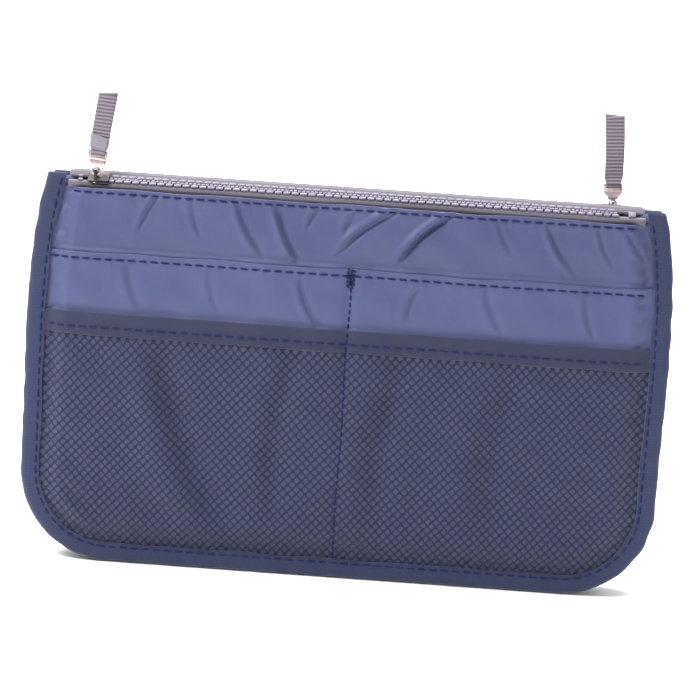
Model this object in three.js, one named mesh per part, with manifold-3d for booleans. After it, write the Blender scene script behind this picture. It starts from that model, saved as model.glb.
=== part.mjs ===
// A soft zipped organiser insert: two flat zipped pouches, front and rear, joined round their sides and
// bottom by one folded gusset, so that an open main compartment lies between them.
// Millimetres, +Z up. X runs along the zips, the front pouch faces -Y, and the rear pouch is the front
// pouch turned half a turn about Z. The origin is on the ground plane, midway between the pouches.
import * as THREE from "three";
import Module from "manifold-3d";

// Outline of every layer: straight bottom, round lower corners, sides that lean in near the top.
const HALF_WIDTH = 140;
const HEIGHT = 170.5;
const CORNER_RADIUS = 40;
const TAPER_START_Z = HEIGHT - 80.5;
const TAPER_END_Z = HEIGHT - 0.5;
const TAPER = 7;
const CORNER_STEPS = 6;

// Height of each layer's open or sewn top edge.
const BINDING_TOP = HEIGHT;
const INNER_PANEL_TOP = HEIGHT - 1;
const GUSSET_TOP = HEIGHT - 5.5;
const OUTER_PANEL_TOP = HEIGHT - 5.5;
const SLIP_POCKET_TOP = HEIGHT - 33;
const MESH_POCKET_TOP = HEIGHT - 59.5;
const SIDE_LEVELS = [
  HEIGHT, INNER_PANEL_TOP, OUTER_PANEL_TOP, HEIGHT - 12.5, HEIGHT - 20.5, SLIP_POCKET_TOP,
  HEIGHT - 45.5, MESH_POCKET_TOP, HEIGHT - 75.5, CORNER_RADIUS,
];

// Layers, measured outwards from the plane between the two pouches.
const FABRIC = 0.5;
const GAP = 0.3;
const LAYER = FABRIC + GAP;
const BINDING_TAPE = 0.6;
const COMPARTMENT_HALF = 2.6;
const CAVITY = 7.4;
const SEAM = COMPARTMENT_HALF + FABRIC + CAVITY / 2;
const SWELL = (CAVITY - GAP) / 2;
const LAYER_INSET = BINDING_TAPE + GAP;

// How far a layer has swollen out of the seam, as [inset from the outline, share of the swell].
const SWELL_RINGS = [[LAYER_INSET, 0], [9.5, 0], [12.7, 0.26], [15.8, 0.74], [19, 1]];

// Where each layer's nearer face lies in the seam.
const INNER_PANEL_BACK = SEAM - GAP / 2 - FABRIC;
const OUTER_PANEL_BACK = SEAM + GAP / 2;
const SLIP_POCKET_BACK = OUTER_PANEL_BACK + LAYER;
const MESH_POCKET_BACK = SLIP_POCKET_BACK + LAYER;
const BINDING_FRONT = MESH_POCKET_BACK + LAYER + BINDING_TAPE;
const GUSSET_BACK = INNER_PANEL_BACK - LAYER;
const BINDING_BACK = GUSSET_BACK - GAP - BINDING_TAPE;

const BINDING_WIDTH = 8.8;
const BINDING_EDGE = 0.5;
const GUSSET_FOLD = 34;
const GUSSET_FOLD_HALF = 0.4;
const GUSSET_INSET = 1.2;
const GUSSET_SWELL = [[9.5, 0], [15.8, 0.8], [19, 1]];
const MESH_BAND_HEIGHT = 9.2;

// The zip: its chain lies along X, on the sloping shoulder between the outer and the inner panel.
const CHAIN_OUT = SEAM + 0.4;
const CHAIN_Z = HEIGHT - 1.9;
const CHAIN_SLOPE = THREE.MathUtils.degToRad(47);
const TAPE_END = HALF_WIDTH - BINDING_WIDTH - 7.6;
const TAPE_LEG_FULL = HALF_WIDTH - 29;
const TAPE_LEG_GONE = HALF_WIDTH - 26.5;
const TAPE_EDGE = 1.9;
const OUTER_TAPE_BEND = 2.9;
const OUTER_TAPE_LEG_TOP = HEIGHT - 4.8;
const OUTER_TAPE_LOW = HEIGHT - 13.5;
const OUTER_TAPE_LOW_AT_END = HEIGHT - 5.2;
const RIDGE_START = 3.9;
const RIDGE = [4, HEIGHT + 1.35];
const INNER_TAPE_LEG_TOP = HEIGHT + 0.4;
const INNER_TAPE_LOW = HEIGHT - 11.5;
const INNER_TAPE_LOW_AT_END = HEIGHT - 0.5;

// Teeth and stops, in the plane of the chain.
const TOOTH_PITCH = 3.6;
const TOOTH_ROOT = 1.5;
const TOOTH_TIP = 1.1;
const TOOTH_REACH = 0.65;
const SPINE_IN = 0.95;
const SPINE_OUT = 1.6;
const TOOTH_THICKNESS = 1.8;
const TEETH_START = 34.6 - HALF_WIDTH;
const TEETH_END = HALF_WIDTH - 29.4;
const TEETH_COUNT = Math.round((TEETH_END - TEETH_START) / TOOTH_PITCH) + 1;
const TOP_STOP = { from: 20.6 - HALF_WIDTH, to: 22.6 - HALF_WIDTH, near: 0.4, far: 1.6, thickness: 1.8 };
const BOTTOM_STOP = { from: HALF_WIDTH - 23.8, to: HALF_WIDTH - 20.6, half: 1.6, thickness: 1.8 };

// Slider, measured from the middle of its body: x along the chain, s across it, n out of it.
const SLIDER_X = 29.5 - HALF_WIDTH;
const SLIDER_HALF_LENGTH = 4.5;
const TOP_PLATE = { half: 3.4, low: 1.2, high: 2.2 };
const BOTTOM_PLATE = { half: 2.6, low: -1.7, high: -1.1 };
const FLANGE = { from: -1, in: 2.9, low: 0.6 };
const WEDGE = { nose: -4.3, tail: -1.4, noseHalf: 1.1, tailHalf: 0.35 };
const CROWN_X = -1;
const CROWN_THICKNESS = 1.2;
const CROWN = { front: -4.2, rear: -0.9, post: 0.7, top: 4.2, bar: 1.2, frontFoot: -1.2, rearFoot: 1.2 };

// Pull tab and ribbon, measured up from the crown's bar, on which the tab swings.
const PULL_Y = -2.6;
const PULL_Z = 3.6;
const PULL_LEAN = THREE.MathUtils.degToRad(4);
const TAB_THICKNESS = 1.2;
const TAB_RING_RADIUS = 2;
const TAB_RING_HOLE = 1.1;
const TAB_NECK_Z = 2.6;
const TAB_SHOULDER_Z = 5.2;
const TAB_HALF_WIDTH = 4.1;
const TAB_TOP_Z = 8.8;
const TAB_CORNER = 0.8;
const TAB_SLOT = { half: 3.2, low: 5.9, high: 7.6 };
const TAB_BAR_Z = 8.2;
const RIBBON_LOOP_HALF = 2.9;
const RIBBON_LOOP_OUTER = 1.7;
const RIBBON_LOOP_INNER = 1.1;
const RIBBON_HALF_WIDTH = 3.95;
const RIBBON_HALF_THICKNESS = 0.75;
const RIBBON_NECK = 1.3;
const RIBBON_START = 2.1;
const RIBBON_END = 27.8;
const ROUND_STEPS = 20;
const SAME_POINT = 1e-4;

const FINISH = {
  shell: { color: 0x6c7299, roughness: 0.62, metalness: 0 },
  pocket: { color: 0x69709a, roughness: 0.62, metalness: 0 },
  mesh: { color: 0x4f526f, roughness: 0.85, metalness: 0 },
  band: { color: 0x4b4f6f, roughness: 0.8, metalness: 0 },
  binding: { color: 0x4b5071, roughness: 0.8, metalness: 0 },
  lining: { color: 0x5a6087, roughness: 0.7, metalness: 0 },
  tape: { color: 0x7f7c8f, roughness: 0.85, metalness: 0 },
  teeth: { color: 0xa19aae, roughness: 0.45, metalness: 0 },
  nickel: { color: 0xe7dedf, roughness: 0.28, metalness: 1 },
  ribbon: { color: 0xa098a4, roughness: 0.9, metalness: 0 },
};

const wasm = await Module();
wasm.setup();

// Half the width of the outline at a height.
function halfWidth(z) {
  const rise = Math.max(0, (z - TAPER_START_Z) / (TAPER_END_Z - TAPER_START_Z));
  return HALF_WIDTH - TAPER * rise ** 3;
}

// Stations down the left side, round the bottom and up the right side, each with its way inwards.
function outline(top) {
  const levels = [top, ...SIDE_LEVELS.filter((z) => z < top)];
  const left = levels.map((z) => ({ x: -halfWidth(z), z, inX: 1, inZ: 0 }));
  for (let i = 1; i <= CORNER_STEPS; i += 1) {
    const turn = ((i / CORNER_STEPS) * Math.PI) / 2;
    const inX = Math.cos(turn);
    const inZ = Math.sin(turn);
    left.push({
      x: CORNER_RADIUS * (1 - inX) - HALF_WIDTH,
      z: CORNER_RADIUS * (1 - inZ),
      inX,
      inZ,
    });
  }
  const right = left.map((s) => ({ ...s, x: -s.x, inX: -s.inX })).reverse();
  return [...left, ...right];
}

// The point at an inset from a station, so far out from the middle plane.
function at(station, inset, out) {
  return new THREE.Vector3(station.x + inset * station.inX, -out, station.z + inset * station.inZ);
}

// Share of the swell at an inset.
function swellAt(inset) {
  const next = SWELL_RINGS.findIndex(([ring]) => ring >= inset);
  if (next < 0) return 1;
  if (next === 0) return 0;
  const [from, low] = SWELL_RINGS[next - 1];
  const [to, high] = SWELL_RINGS[next];
  return low + ((inset - from) / (to - from)) * (high - low);
}

// A body from points and triangles, turned to face out.
function body(points, triangles) {
  const volume = triangles.reduce((sum, [a, b, c]) => {
    const cross = new THREE.Vector3().crossVectors(points[b], points[c]);
    return sum + points[a].dot(cross);
  }, 0);
  const order = volume > 0 ? triangles : triangles.map(([a, b, c]) => [a, c, b]);
  const geometry = new THREE.BufferGeometry().setFromPoints(points);
  geometry.setIndex(order.flat());
  const flat = geometry.toNonIndexed();
  flat.computeVertexNormals();
  return flat;
}

// A band of even thickness: each row holds the points of its two faces, left and right.
function band(rows) {
  const count = rows[0].left.length;
  const points = rows.flatMap(({ left, right }) => [...left, ...right]);
  const loop = [];
  for (let i = 0; i < count; i += 1) loop.push(i);
  for (let i = count - 1; i >= 0; i -= 1) loop.push(count + i);
  const triangles = [];
  const last = (rows.length - 1) * 2 * count;
  for (let i = 0; i + 1 < count; i += 1) {
    const [a, b, c, d] = [i, i + 1, count + i + 1, count + i];
    triangles.push([a, c, b], [a, d, c]);
    triangles.push([last + a, last + b, last + c], [last + a, last + c, last + d]);
  }
  for (let row = 0; row + 1 < rows.length; row += 1) {
    const here = row * 2 * count;
    const next = here + 2 * count;
    loop.forEach((from, i) => {
      const to = loop[(i + 1) % loop.length];
      triangles.push([here + from, here + to, next + to], [here + from, next + to, next + from]);
    });
  }
  return body(points, triangles);
}

// Both faces of a line of [a, b] points thickened evenly.
function thicken(line, thickness) {
  const points = line.map(([a, b]) => new THREE.Vector2(a, b));
  const normals = points.slice(1).map((p, i) => {
    const along = p.clone().sub(points[i]).normalize();
    return new THREE.Vector2(-along.y, along.x);
  });
  const left = [];
  const right = [];
  points.forEach((p, i) => {
    const before = normals[Math.max(0, i - 1)];
    const after = normals[Math.min(normals.length - 1, i)];
    const reach = thickness / 2 / (1 + before.dot(after));
    const shift = before.clone().add(after).multiplyScalar(reach);
    left.push(p.clone().add(shift));
    right.push(p.clone().sub(shift));
  });
  return { left, right };
}

// A strip of a thickened [inset, out] line that follows the outline.
function outlineStrip(line, thickness, top) {
  const section = thicken(line, thickness);
  const place = (station) => (p) => at(station, p.x, p.y);
  return band(
    outline(top).map((station) => ({
      left: section.left.map(place(station)),
      right: section.right.map(place(station)),
    })),
  );
}

// A fabric panel: flat in the seam, swelling out of it towards the middle.
function panel(back, swell, top) {
  const stations = outline(top);
  const count = stations.length;
  const points = [];
  for (const thickness of [0, FABRIC]) {
    for (const [inset, share] of SWELL_RINGS) {
      for (const station of stations) {
        points.push(at(station, inset, back + swell * share + thickness));
      }
    }
  }
  const rings = SWELL_RINGS.length;
  const index = (face, ring, station) => (face * rings + ring) * count + station;
  const triangles = [];
  const quad = (a, b, c, d) => triangles.push([a, b, c], [a, c, d]);
  for (const face of [0, 1]) {
    const turned = (a, b, c, d) => (face ? quad(d, c, b, a) : quad(a, b, c, d));
    for (let ring = 0; ring + 1 < rings; ring += 1) {
      for (let s = 0; s + 1 < count; s += 1) {
        const [near, far] = [index(face, ring, s), index(face, ring + 1, s)];
        turned(near, near + 1, far + 1, far);
      }
    }
    for (let s = 0; s + 1 < count / 2; s += 1) {
      const left = index(face, rings - 1, s);
      const right = index(face, rings - 1, count - 1 - s);
      turned(left, left + 1, right - 1, right);
    }
  }
  const edge = [];
  for (let s = 0; s < count; s += 1) edge.push([0, s]);
  for (let ring = 1; ring < rings; ring += 1) edge.push([ring, count - 1]);
  for (let ring = rings - 1; ring > 0; ring -= 1) edge.push([ring, 0]);
  edge.forEach(([ring, station], i) => {
    const [nextRing, nextStation] = edge[(i + 1) % edge.length];
    quad(
      index(0, nextRing, nextStation),
      index(0, ring, station),
      index(1, ring, station),
      index(1, nextRing, nextStation),
    );
  });
  return body(points, triangles);
}

// The point s across the chain and n out of it, as [out, z].
function chainPoint(s, n = 0) {
  const [across, up] = [Math.cos(CHAIN_SLOPE), Math.sin(CHAIN_SLOPE)];
  return [CHAIN_OUT - s * across + n * up, CHAIN_Z + s * up + n * across];
}

// Turns geometry made as x along, y across and z out of the chain into its place.
function onChain(geometry) {
  const [out, z] = chainPoint(0);
  geometry.rotateX(CHAIN_SLOPE);
  geometry.translate(0, -out, z);
  return geometry;
}

// A tape whose hidden leg shortens towards both ends.
function zipTape(lineAt) {
  const stations = [-TAPE_END, -TAPE_LEG_GONE, -TAPE_LEG_FULL, TAPE_LEG_FULL, TAPE_LEG_GONE, TAPE_END];
  return band(
    stations.map((x) => {
      const section = thicken(lineAt(Math.abs(x) > TAPE_LEG_FULL), FABRIC);
      const place = (p) => new THREE.Vector3(x, -p.x, p.y);
      return { left: section.left.map(place), right: section.right.map(place) };
    }),
  );
}

function outerTapeLine(short) {
  const leg = OUTER_PANEL_BACK + SWELL - GAP - FABRIC / 2;
  return [
    [leg, short ? OUTER_TAPE_LOW_AT_END : OUTER_TAPE_LOW],
    [leg, OUTER_TAPE_LEG_TOP],
    chainPoint(-OUTER_TAPE_BEND),
    chainPoint(-TAPE_EDGE),
  ];
}

function innerTapeLine(short) {
  const leg = COMPARTMENT_HALF + FABRIC + GAP + FABRIC / 2;
  return [
    chainPoint(TAPE_EDGE),
    chainPoint(RIDGE_START),
    RIDGE,
    [leg, INNER_TAPE_LEG_TOP],
    [leg, short ? INNER_TAPE_LOW_AT_END : INNER_TAPE_LOW],
  ];
}

// An outline given as [a, b] points.
function shapeOf(points) {
  return new THREE.Shape(points.map(([a, b]) => new THREE.Vector2(a, b)));
}

// A row of teeth on its cord. Side is -1 for the outer tape's row, 1 for the inner tape's.
function teethRow(side) {
  const start = TEETH_START + (side > 0 ? TOOTH_PITCH / 2 : 0);
  const points = [];
  for (let i = 0; i < TEETH_COUNT; i += 1) {
    const x = start + i * TOOTH_PITCH;
    points.push([x, side * SPINE_IN]);
    points.push([x + (TOOTH_ROOT - TOOTH_TIP) / 2, -side * TOOTH_REACH]);
    points.push([x + (TOOTH_ROOT + TOOTH_TIP) / 2, -side * TOOTH_REACH]);
    points.push([x + TOOTH_ROOT, side * SPINE_IN]);
  }
  points.push([points.at(-1)[0], side * SPINE_OUT], [start, side * SPINE_OUT]);
  const options = { depth: TOOTH_THICKNESS, bevelEnabled: false };
  const geometry = new THREE.ExtrudeGeometry(shapeOf(points), options);
  geometry.translate(0, 0, -TOOTH_THICKNESS / 2);
  return onChain(geometry);
}

// A block between two corners.
function block(low, high) {
  const size = high.map((value, i) => value - low[i]);
  const geometry = new THREE.BoxGeometry(...size);
  geometry.translate(...low.map((value, i) => value + size[i] / 2));
  return geometry;
}

function topStop(side) {
  const [near, far] = [side * TOP_STOP.near, side * TOP_STOP.far].sort((a, b) => a - b);
  const half = TOP_STOP.thickness / 2;
  return onChain(block([TOP_STOP.from, near, -half], [TOP_STOP.to, far, half]));
}

function bottomStop() {
  const { from, to, half, thickness } = BOTTOM_STOP;
  return onChain(block([from, -half, -thickness / 2], [to, half, thickness / 2]));
}

// Geometry as a solid that can be joined or cut.
function solid(geometry) {
  const positions = (geometry.index ? geometry.toNonIndexed() : geometry).getAttribute("position");
  const seen = new Map();
  const vertices = [];
  const corners = [];
  for (let i = 0; i < positions.count; i += 1) {
    const point = [positions.getX(i), positions.getY(i), positions.getZ(i)];
    const key = point.map((value) => Math.round(value / SAME_POINT)).join();
    if (!seen.has(key)) {
      seen.set(key, seen.size);
      vertices.push(...point);
    }
    corners.push(seen.get(key));
  }
  const mesh = new wasm.Mesh({
    numProp: 3,
    vertProperties: new Float32Array(vertices),
    triVerts: new Uint32Array(corners),
  });
  return new wasm.Manifold(mesh);
}

// A joined or cut solid back as geometry.
function geometryOf(manifold) {
  const { vertProperties, triVerts, numProp } = manifold.getMesh();
  const geometry = new THREE.BufferGeometry();
  const positions = [];
  for (const corner of triVerts) {
    positions.push(...vertProperties.slice(corner * numProp, corner * numProp + 3));
  }
  geometry.setAttribute("position", new THREE.Float32BufferAttribute(positions, 3));
  geometry.computeVertexNormals();
  return geometry;
}

// Slider body, about the middle of the chain: two plates, the wedge that joins them, side flanges and the
// crown that carries the pull tab.
function sliderBody() {
  const length = SLIDER_HALF_LENGTH;
  const plate = ({ half, low, high }) => block([-length, -half, low], [length, half, high]);
  const overlap = FABRIC / 2;
  const flange = (side) => {
    const [near, far] = [side * FLANGE.in, side * TOP_PLATE.half].sort((a, b) => a - b);
    return block([FLANGE.from, near, FLANGE.low], [length, far, TOP_PLATE.low + overlap]);
  };
  const wedge = new THREE.ExtrudeGeometry(
    shapeOf([
      [WEDGE.nose, -WEDGE.noseHalf],
      [WEDGE.tail, -WEDGE.tailHalf],
      [WEDGE.tail, WEDGE.tailHalf],
      [WEDGE.nose, WEDGE.noseHalf],
    ]),
    { depth: TOP_PLATE.low - BOTTOM_PLATE.high + 2 * overlap, bevelEnabled: false },
  );
  wedge.translate(0, 0, BOTTOM_PLATE.high - overlap);
  const sloped = [plate(TOP_PLATE), plate(BOTTOM_PLATE), flange(-1), flange(1), wedge];
  sloped.forEach((geometry) => geometry.rotateX(CHAIN_SLOPE));
  const [thin, thick] = [CROWN_X - CROWN_THICKNESS / 2, CROWN_X + CROWN_THICKNESS / 2];
  const upright = [
    block([thin, CROWN.front, CROWN.frontFoot], [thick, CROWN.front + CROWN.post, CROWN.top]),
    block([thin, CROWN.rear - CROWN.post, CROWN.rearFoot], [thick, CROWN.rear, CROWN.top]),
    block([thin, CROWN.front, CROWN.top - CROWN.bar], [thick, CROWN.rear, CROWN.top]),
  ];
  const joined = [...sloped, ...upright].map(solid).reduce((sum, next) => sum.add(next));
  return geometryOf(joined);
}

// Stands a flat outline of x and height upright, with its thickness along Y.
function standing(shape, thickness) {
  const geometry = new THREE.ExtrudeGeometry(shape, {
    depth: thickness,
    bevelEnabled: false,
    curveSegments: ROUND_STEPS,
  });
  geometry.translate(0, 0, -thickness / 2);
  geometry.rotateX(Math.PI / 2);
  return geometry;
}

// Metal tab: a ring on the crown's bar, shoulders, and a slot for the ribbon.
function pullTab() {
  const shape = new THREE.Shape();
  const inner = TAB_HALF_WIDTH - TAB_CORNER;
  shape.moveTo(TAB_RING_RADIUS, 0);
  shape.lineTo(TAB_RING_RADIUS, TAB_NECK_Z);
  shape.lineTo(TAB_HALF_WIDTH, TAB_SHOULDER_Z);
  shape.lineTo(TAB_HALF_WIDTH, TAB_TOP_Z - TAB_CORNER);
  shape.lineTo(inner, TAB_TOP_Z);
  shape.lineTo(-inner, TAB_TOP_Z);
  shape.lineTo(-TAB_HALF_WIDTH, TAB_TOP_Z - TAB_CORNER);
  shape.lineTo(-TAB_HALF_WIDTH, TAB_SHOULDER_Z);
  shape.lineTo(-TAB_RING_RADIUS, TAB_NECK_Z);
  shape.lineTo(-TAB_RING_RADIUS, 0);
  shape.absarc(0, 0, TAB_RING_RADIUS, Math.PI, 2 * Math.PI, false);
  const ring = new THREE.Path().absarc(0, 0, TAB_RING_HOLE, 0, 2 * Math.PI, true);
  const { half, low, high } = TAB_SLOT;
  const corners = [[-half, low], [-half, high], [half, high], [half, low]];
  const slot = new THREE.Path(corners.map(([x, z]) => new THREE.Vector2(x, z)));
  shape.holes.push(ring, slot);
  return standing(shape, TAB_THICKNESS);
}

// A rod along X.
function rod(radius, half) {
  const geometry = new THREE.CylinderGeometry(radius, radius, 2 * half, ROUND_STEPS);
  geometry.rotateZ(Math.PI / 2);
  return geometry;
}

// Ribbon pull, about the tab's top bar: a loop round the bar, gathered, then the doubled ribbon.
function pullRibbon() {
  const [thin, loop, wide] = [RIBBON_HALF_THICKNESS, RIBBON_LOOP_HALF, RIBBON_HALF_WIDTH];
  const neck = block([-loop, -thin, RIBBON_NECK], [loop, thin, RIBBON_START + GAP]);
  const strip = block([-wide, -thin, RIBBON_START], [wide, thin, RIBBON_END]);
  const joined = solid(rod(RIBBON_LOOP_OUTER, loop)).add(solid(neck)).add(solid(strip));
  return geometryOf(joined.subtract(solid(rod(RIBBON_LOOP_INNER, wide))));
}

// Bound top of the mesh pocket: a folded band in front of the net, lipped over its edge.
function meshBand() {
  const reach = BINDING_WIDTH + GAP;
  const insets = [reach, ...SWELL_RINGS.map(([inset]) => inset).filter((inset) => inset > reach)];
  const half = halfWidth(MESH_POCKET_TOP);
  const left = insets.map((inset) => ({ x: inset - half, share: swellAt(inset) }));
  const stations = [...left, ...left.map(({ x, share }) => ({ x: -x, share })).reverse()];
  const front = MESH_POCKET_BACK + LAYER + FABRIC / 2;
  const top = MESH_POCKET_TOP + GAP + FABRIC / 2;
  const line = [[front, top - MESH_BAND_HEIGHT], [front, top], [MESH_POCKET_BACK, top]];
  const section = thicken(line, FABRIC);
  return band(
    stations.map(({ x, share }) => {
      const place = (p) => new THREE.Vector3(x, -(p.x + SWELL * share), p.y);
      return { left: section.left.map(place), right: section.right.map(place) };
    }),
  );
}

// Edge binding wrapped round the seam of one pouch.
function edgeBinding() {
  const front = BINDING_FRONT - BINDING_TAPE / 2;
  const back = BINDING_BACK + BINDING_TAPE / 2;
  const edge = BINDING_TAPE / 2;
  const line = [
    [BINDING_WIDTH, front],
    [edge + BINDING_EDGE, front],
    [edge, front - BINDING_EDGE],
    [edge, back + BINDING_EDGE],
    [edge + BINDING_EDGE, back],
    [BINDING_WIDTH, back],
  ];
  return outlineStrip(line, BINDING_TAPE, BINDING_TOP);
}

// The gusset: from the front pouch's seam, folded inwards between the pouches, to the rear pouch's seam.
function gusset() {
  const seam = GUSSET_BACK + FABRIC / 2;
  const half = [
    [GUSSET_INSET, seam],
    ...GUSSET_SWELL.map(([inset, share]) => [inset, seam - SWELL * share]),
    [GUSSET_FOLD, GUSSET_FOLD_HALF],
  ];
  const other = half.map(([inset, out]) => [inset, -out]).reverse();
  return outlineStrip([...half, ...other], FABRIC, GUSSET_TOP);
}

function named(name, geometry, finish) {
  const mesh = new THREE.Mesh(geometry, new THREE.MeshStandardMaterial(FINISH[finish]));
  mesh.name = name;
  return mesh;
}

function slider(prefix) {
  const group = new THREE.Group();
  const [out, z] = chainPoint(0);
  group.position.set(SLIDER_X, -out, z);
  const pull = new THREE.Group();
  pull.position.set(CROWN_X, PULL_Y, PULL_Z);
  pull.rotation.y = PULL_LEAN;
  const ribbon = named(`${prefix}_pull_ribbon`, pullRibbon(), "ribbon");
  ribbon.position.z = TAB_BAR_Z;
  pull.add(named(`${prefix}_pull_tab`, pullTab(), "nickel"), ribbon);
  group.add(named(`${prefix}_slider_body`, sliderBody(), "nickel"), pull);
  return group;
}

function pouch(prefix) {
  const group = new THREE.Group();
  group.name = `${prefix}_pouch`;
  const add = (name, geometry, finish) => group.add(named(`${prefix}_${name}`, geometry, finish));
  add("inner_panel", panel(INNER_PANEL_BACK, -SWELL, INNER_PANEL_TOP), "lining");
  add("outer_panel", panel(OUTER_PANEL_BACK, SWELL, OUTER_PANEL_TOP), "shell");
  add("slip_pocket", panel(SLIP_POCKET_BACK, SWELL, SLIP_POCKET_TOP), "pocket");
  add("mesh_pocket", panel(MESH_POCKET_BACK, SWELL, MESH_POCKET_TOP), "mesh");
  add("mesh_pocket_band", meshBand(), "band");
  add("edge_binding", edgeBinding(), "binding");
  add("zip_tape_outer", zipTape(outerTapeLine), "tape");
  add("zip_tape_inner", zipTape(innerTapeLine), "tape");
  add("zip_teeth_outer", teethRow(-1), "teeth");
  add("zip_teeth_inner", teethRow(1), "teeth");
  add("zip_top_stop_outer", topStop(-1), "teeth");
  add("zip_top_stop_inner", topStop(1), "teeth");
  add("zip_bottom_stop", bottomStop(), "teeth");
  group.add(slider(prefix));
  return group;
}

const organizer = new THREE.Group();
organizer.name = "organizer_insert";
const rear = pouch("rear");
rear.rotation.z = Math.PI;
organizer.add(pouch("front"), rear, named("gusset", gusset(), "lining"));

export default organizer;
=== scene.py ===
"""Looks of a zipped nylon organiser insert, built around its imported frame.

Two flat zipped pouches hang back to back on one folded gusset. Each has a nylon shell, a nylon slip
pocket, a net pocket with a bound top, a lining, a bound edge, a moulded zip and a ribbon pull.
"""

import logging
import math
from dataclasses import dataclass, field
from enum import Enum
from typing import Callable

import bpy
import numpy as np
from mathutils import Matrix, Vector


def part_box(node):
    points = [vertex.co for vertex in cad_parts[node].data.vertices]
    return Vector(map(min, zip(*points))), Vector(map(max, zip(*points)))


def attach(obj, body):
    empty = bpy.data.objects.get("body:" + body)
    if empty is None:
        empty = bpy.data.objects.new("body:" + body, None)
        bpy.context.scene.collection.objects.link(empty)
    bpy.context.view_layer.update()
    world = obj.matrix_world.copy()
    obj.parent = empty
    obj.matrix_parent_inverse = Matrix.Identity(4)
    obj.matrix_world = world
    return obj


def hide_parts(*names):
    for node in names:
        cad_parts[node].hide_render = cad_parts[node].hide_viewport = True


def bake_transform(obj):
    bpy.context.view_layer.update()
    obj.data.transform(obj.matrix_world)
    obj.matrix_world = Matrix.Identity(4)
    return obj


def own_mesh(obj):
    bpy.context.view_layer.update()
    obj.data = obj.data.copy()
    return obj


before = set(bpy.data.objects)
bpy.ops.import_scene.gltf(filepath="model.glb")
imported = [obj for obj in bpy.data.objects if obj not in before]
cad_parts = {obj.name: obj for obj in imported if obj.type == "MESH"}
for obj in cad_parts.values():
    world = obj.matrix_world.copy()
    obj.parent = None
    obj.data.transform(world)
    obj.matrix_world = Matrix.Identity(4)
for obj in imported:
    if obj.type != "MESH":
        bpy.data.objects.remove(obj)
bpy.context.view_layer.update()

MM = 0.001
FRONT_SEED = 11
REAR_SEED = 47
HALF_TURN = Matrix.Rotation(math.pi, 4, "Z")
log = logging.getLogger("organiser")


class Side(Enum):
    """Which of the two pouches a piece belongs to."""

    FRONT = "front"
    REAR = "rear"

    @property
    def turned(self) -> bool:
        """Whether the pouch is the front one turned half a turn about Z."""
        return self is Side.REAR

    def node(self, name: str) -> str:
        """Name of this pouch's node."""
        return f"{self.value}_{name}"


def box_mm(node: str) -> tuple[Vector, Vector]:
    """Box of a front node, in millimetres.

    Args:
        node: Name of the node in the frame.

    Returns:
        Its lowest and highest corner.
    """
    low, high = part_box(node)
    return Vector(low) / MM, Vector(high) / MM


# ---------------------------------------------------------------- materials


def linear(colour: str) -> tuple[float, float, float, float]:
    """Linear colour of an sRGB hex value.

    Args:
        colour: Six hex digits.

    Returns:
        Linear red, green, blue and an alpha of one.
    """
    parts = [int(colour[i : i + 2], 16) / 255 for i in (0, 2, 4)]
    curve = [c / 12.92 if c <= 0.04045 else ((c + 0.055) / 1.055) ** 2.4 for c in parts]
    return (*curve, 1.0)


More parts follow.
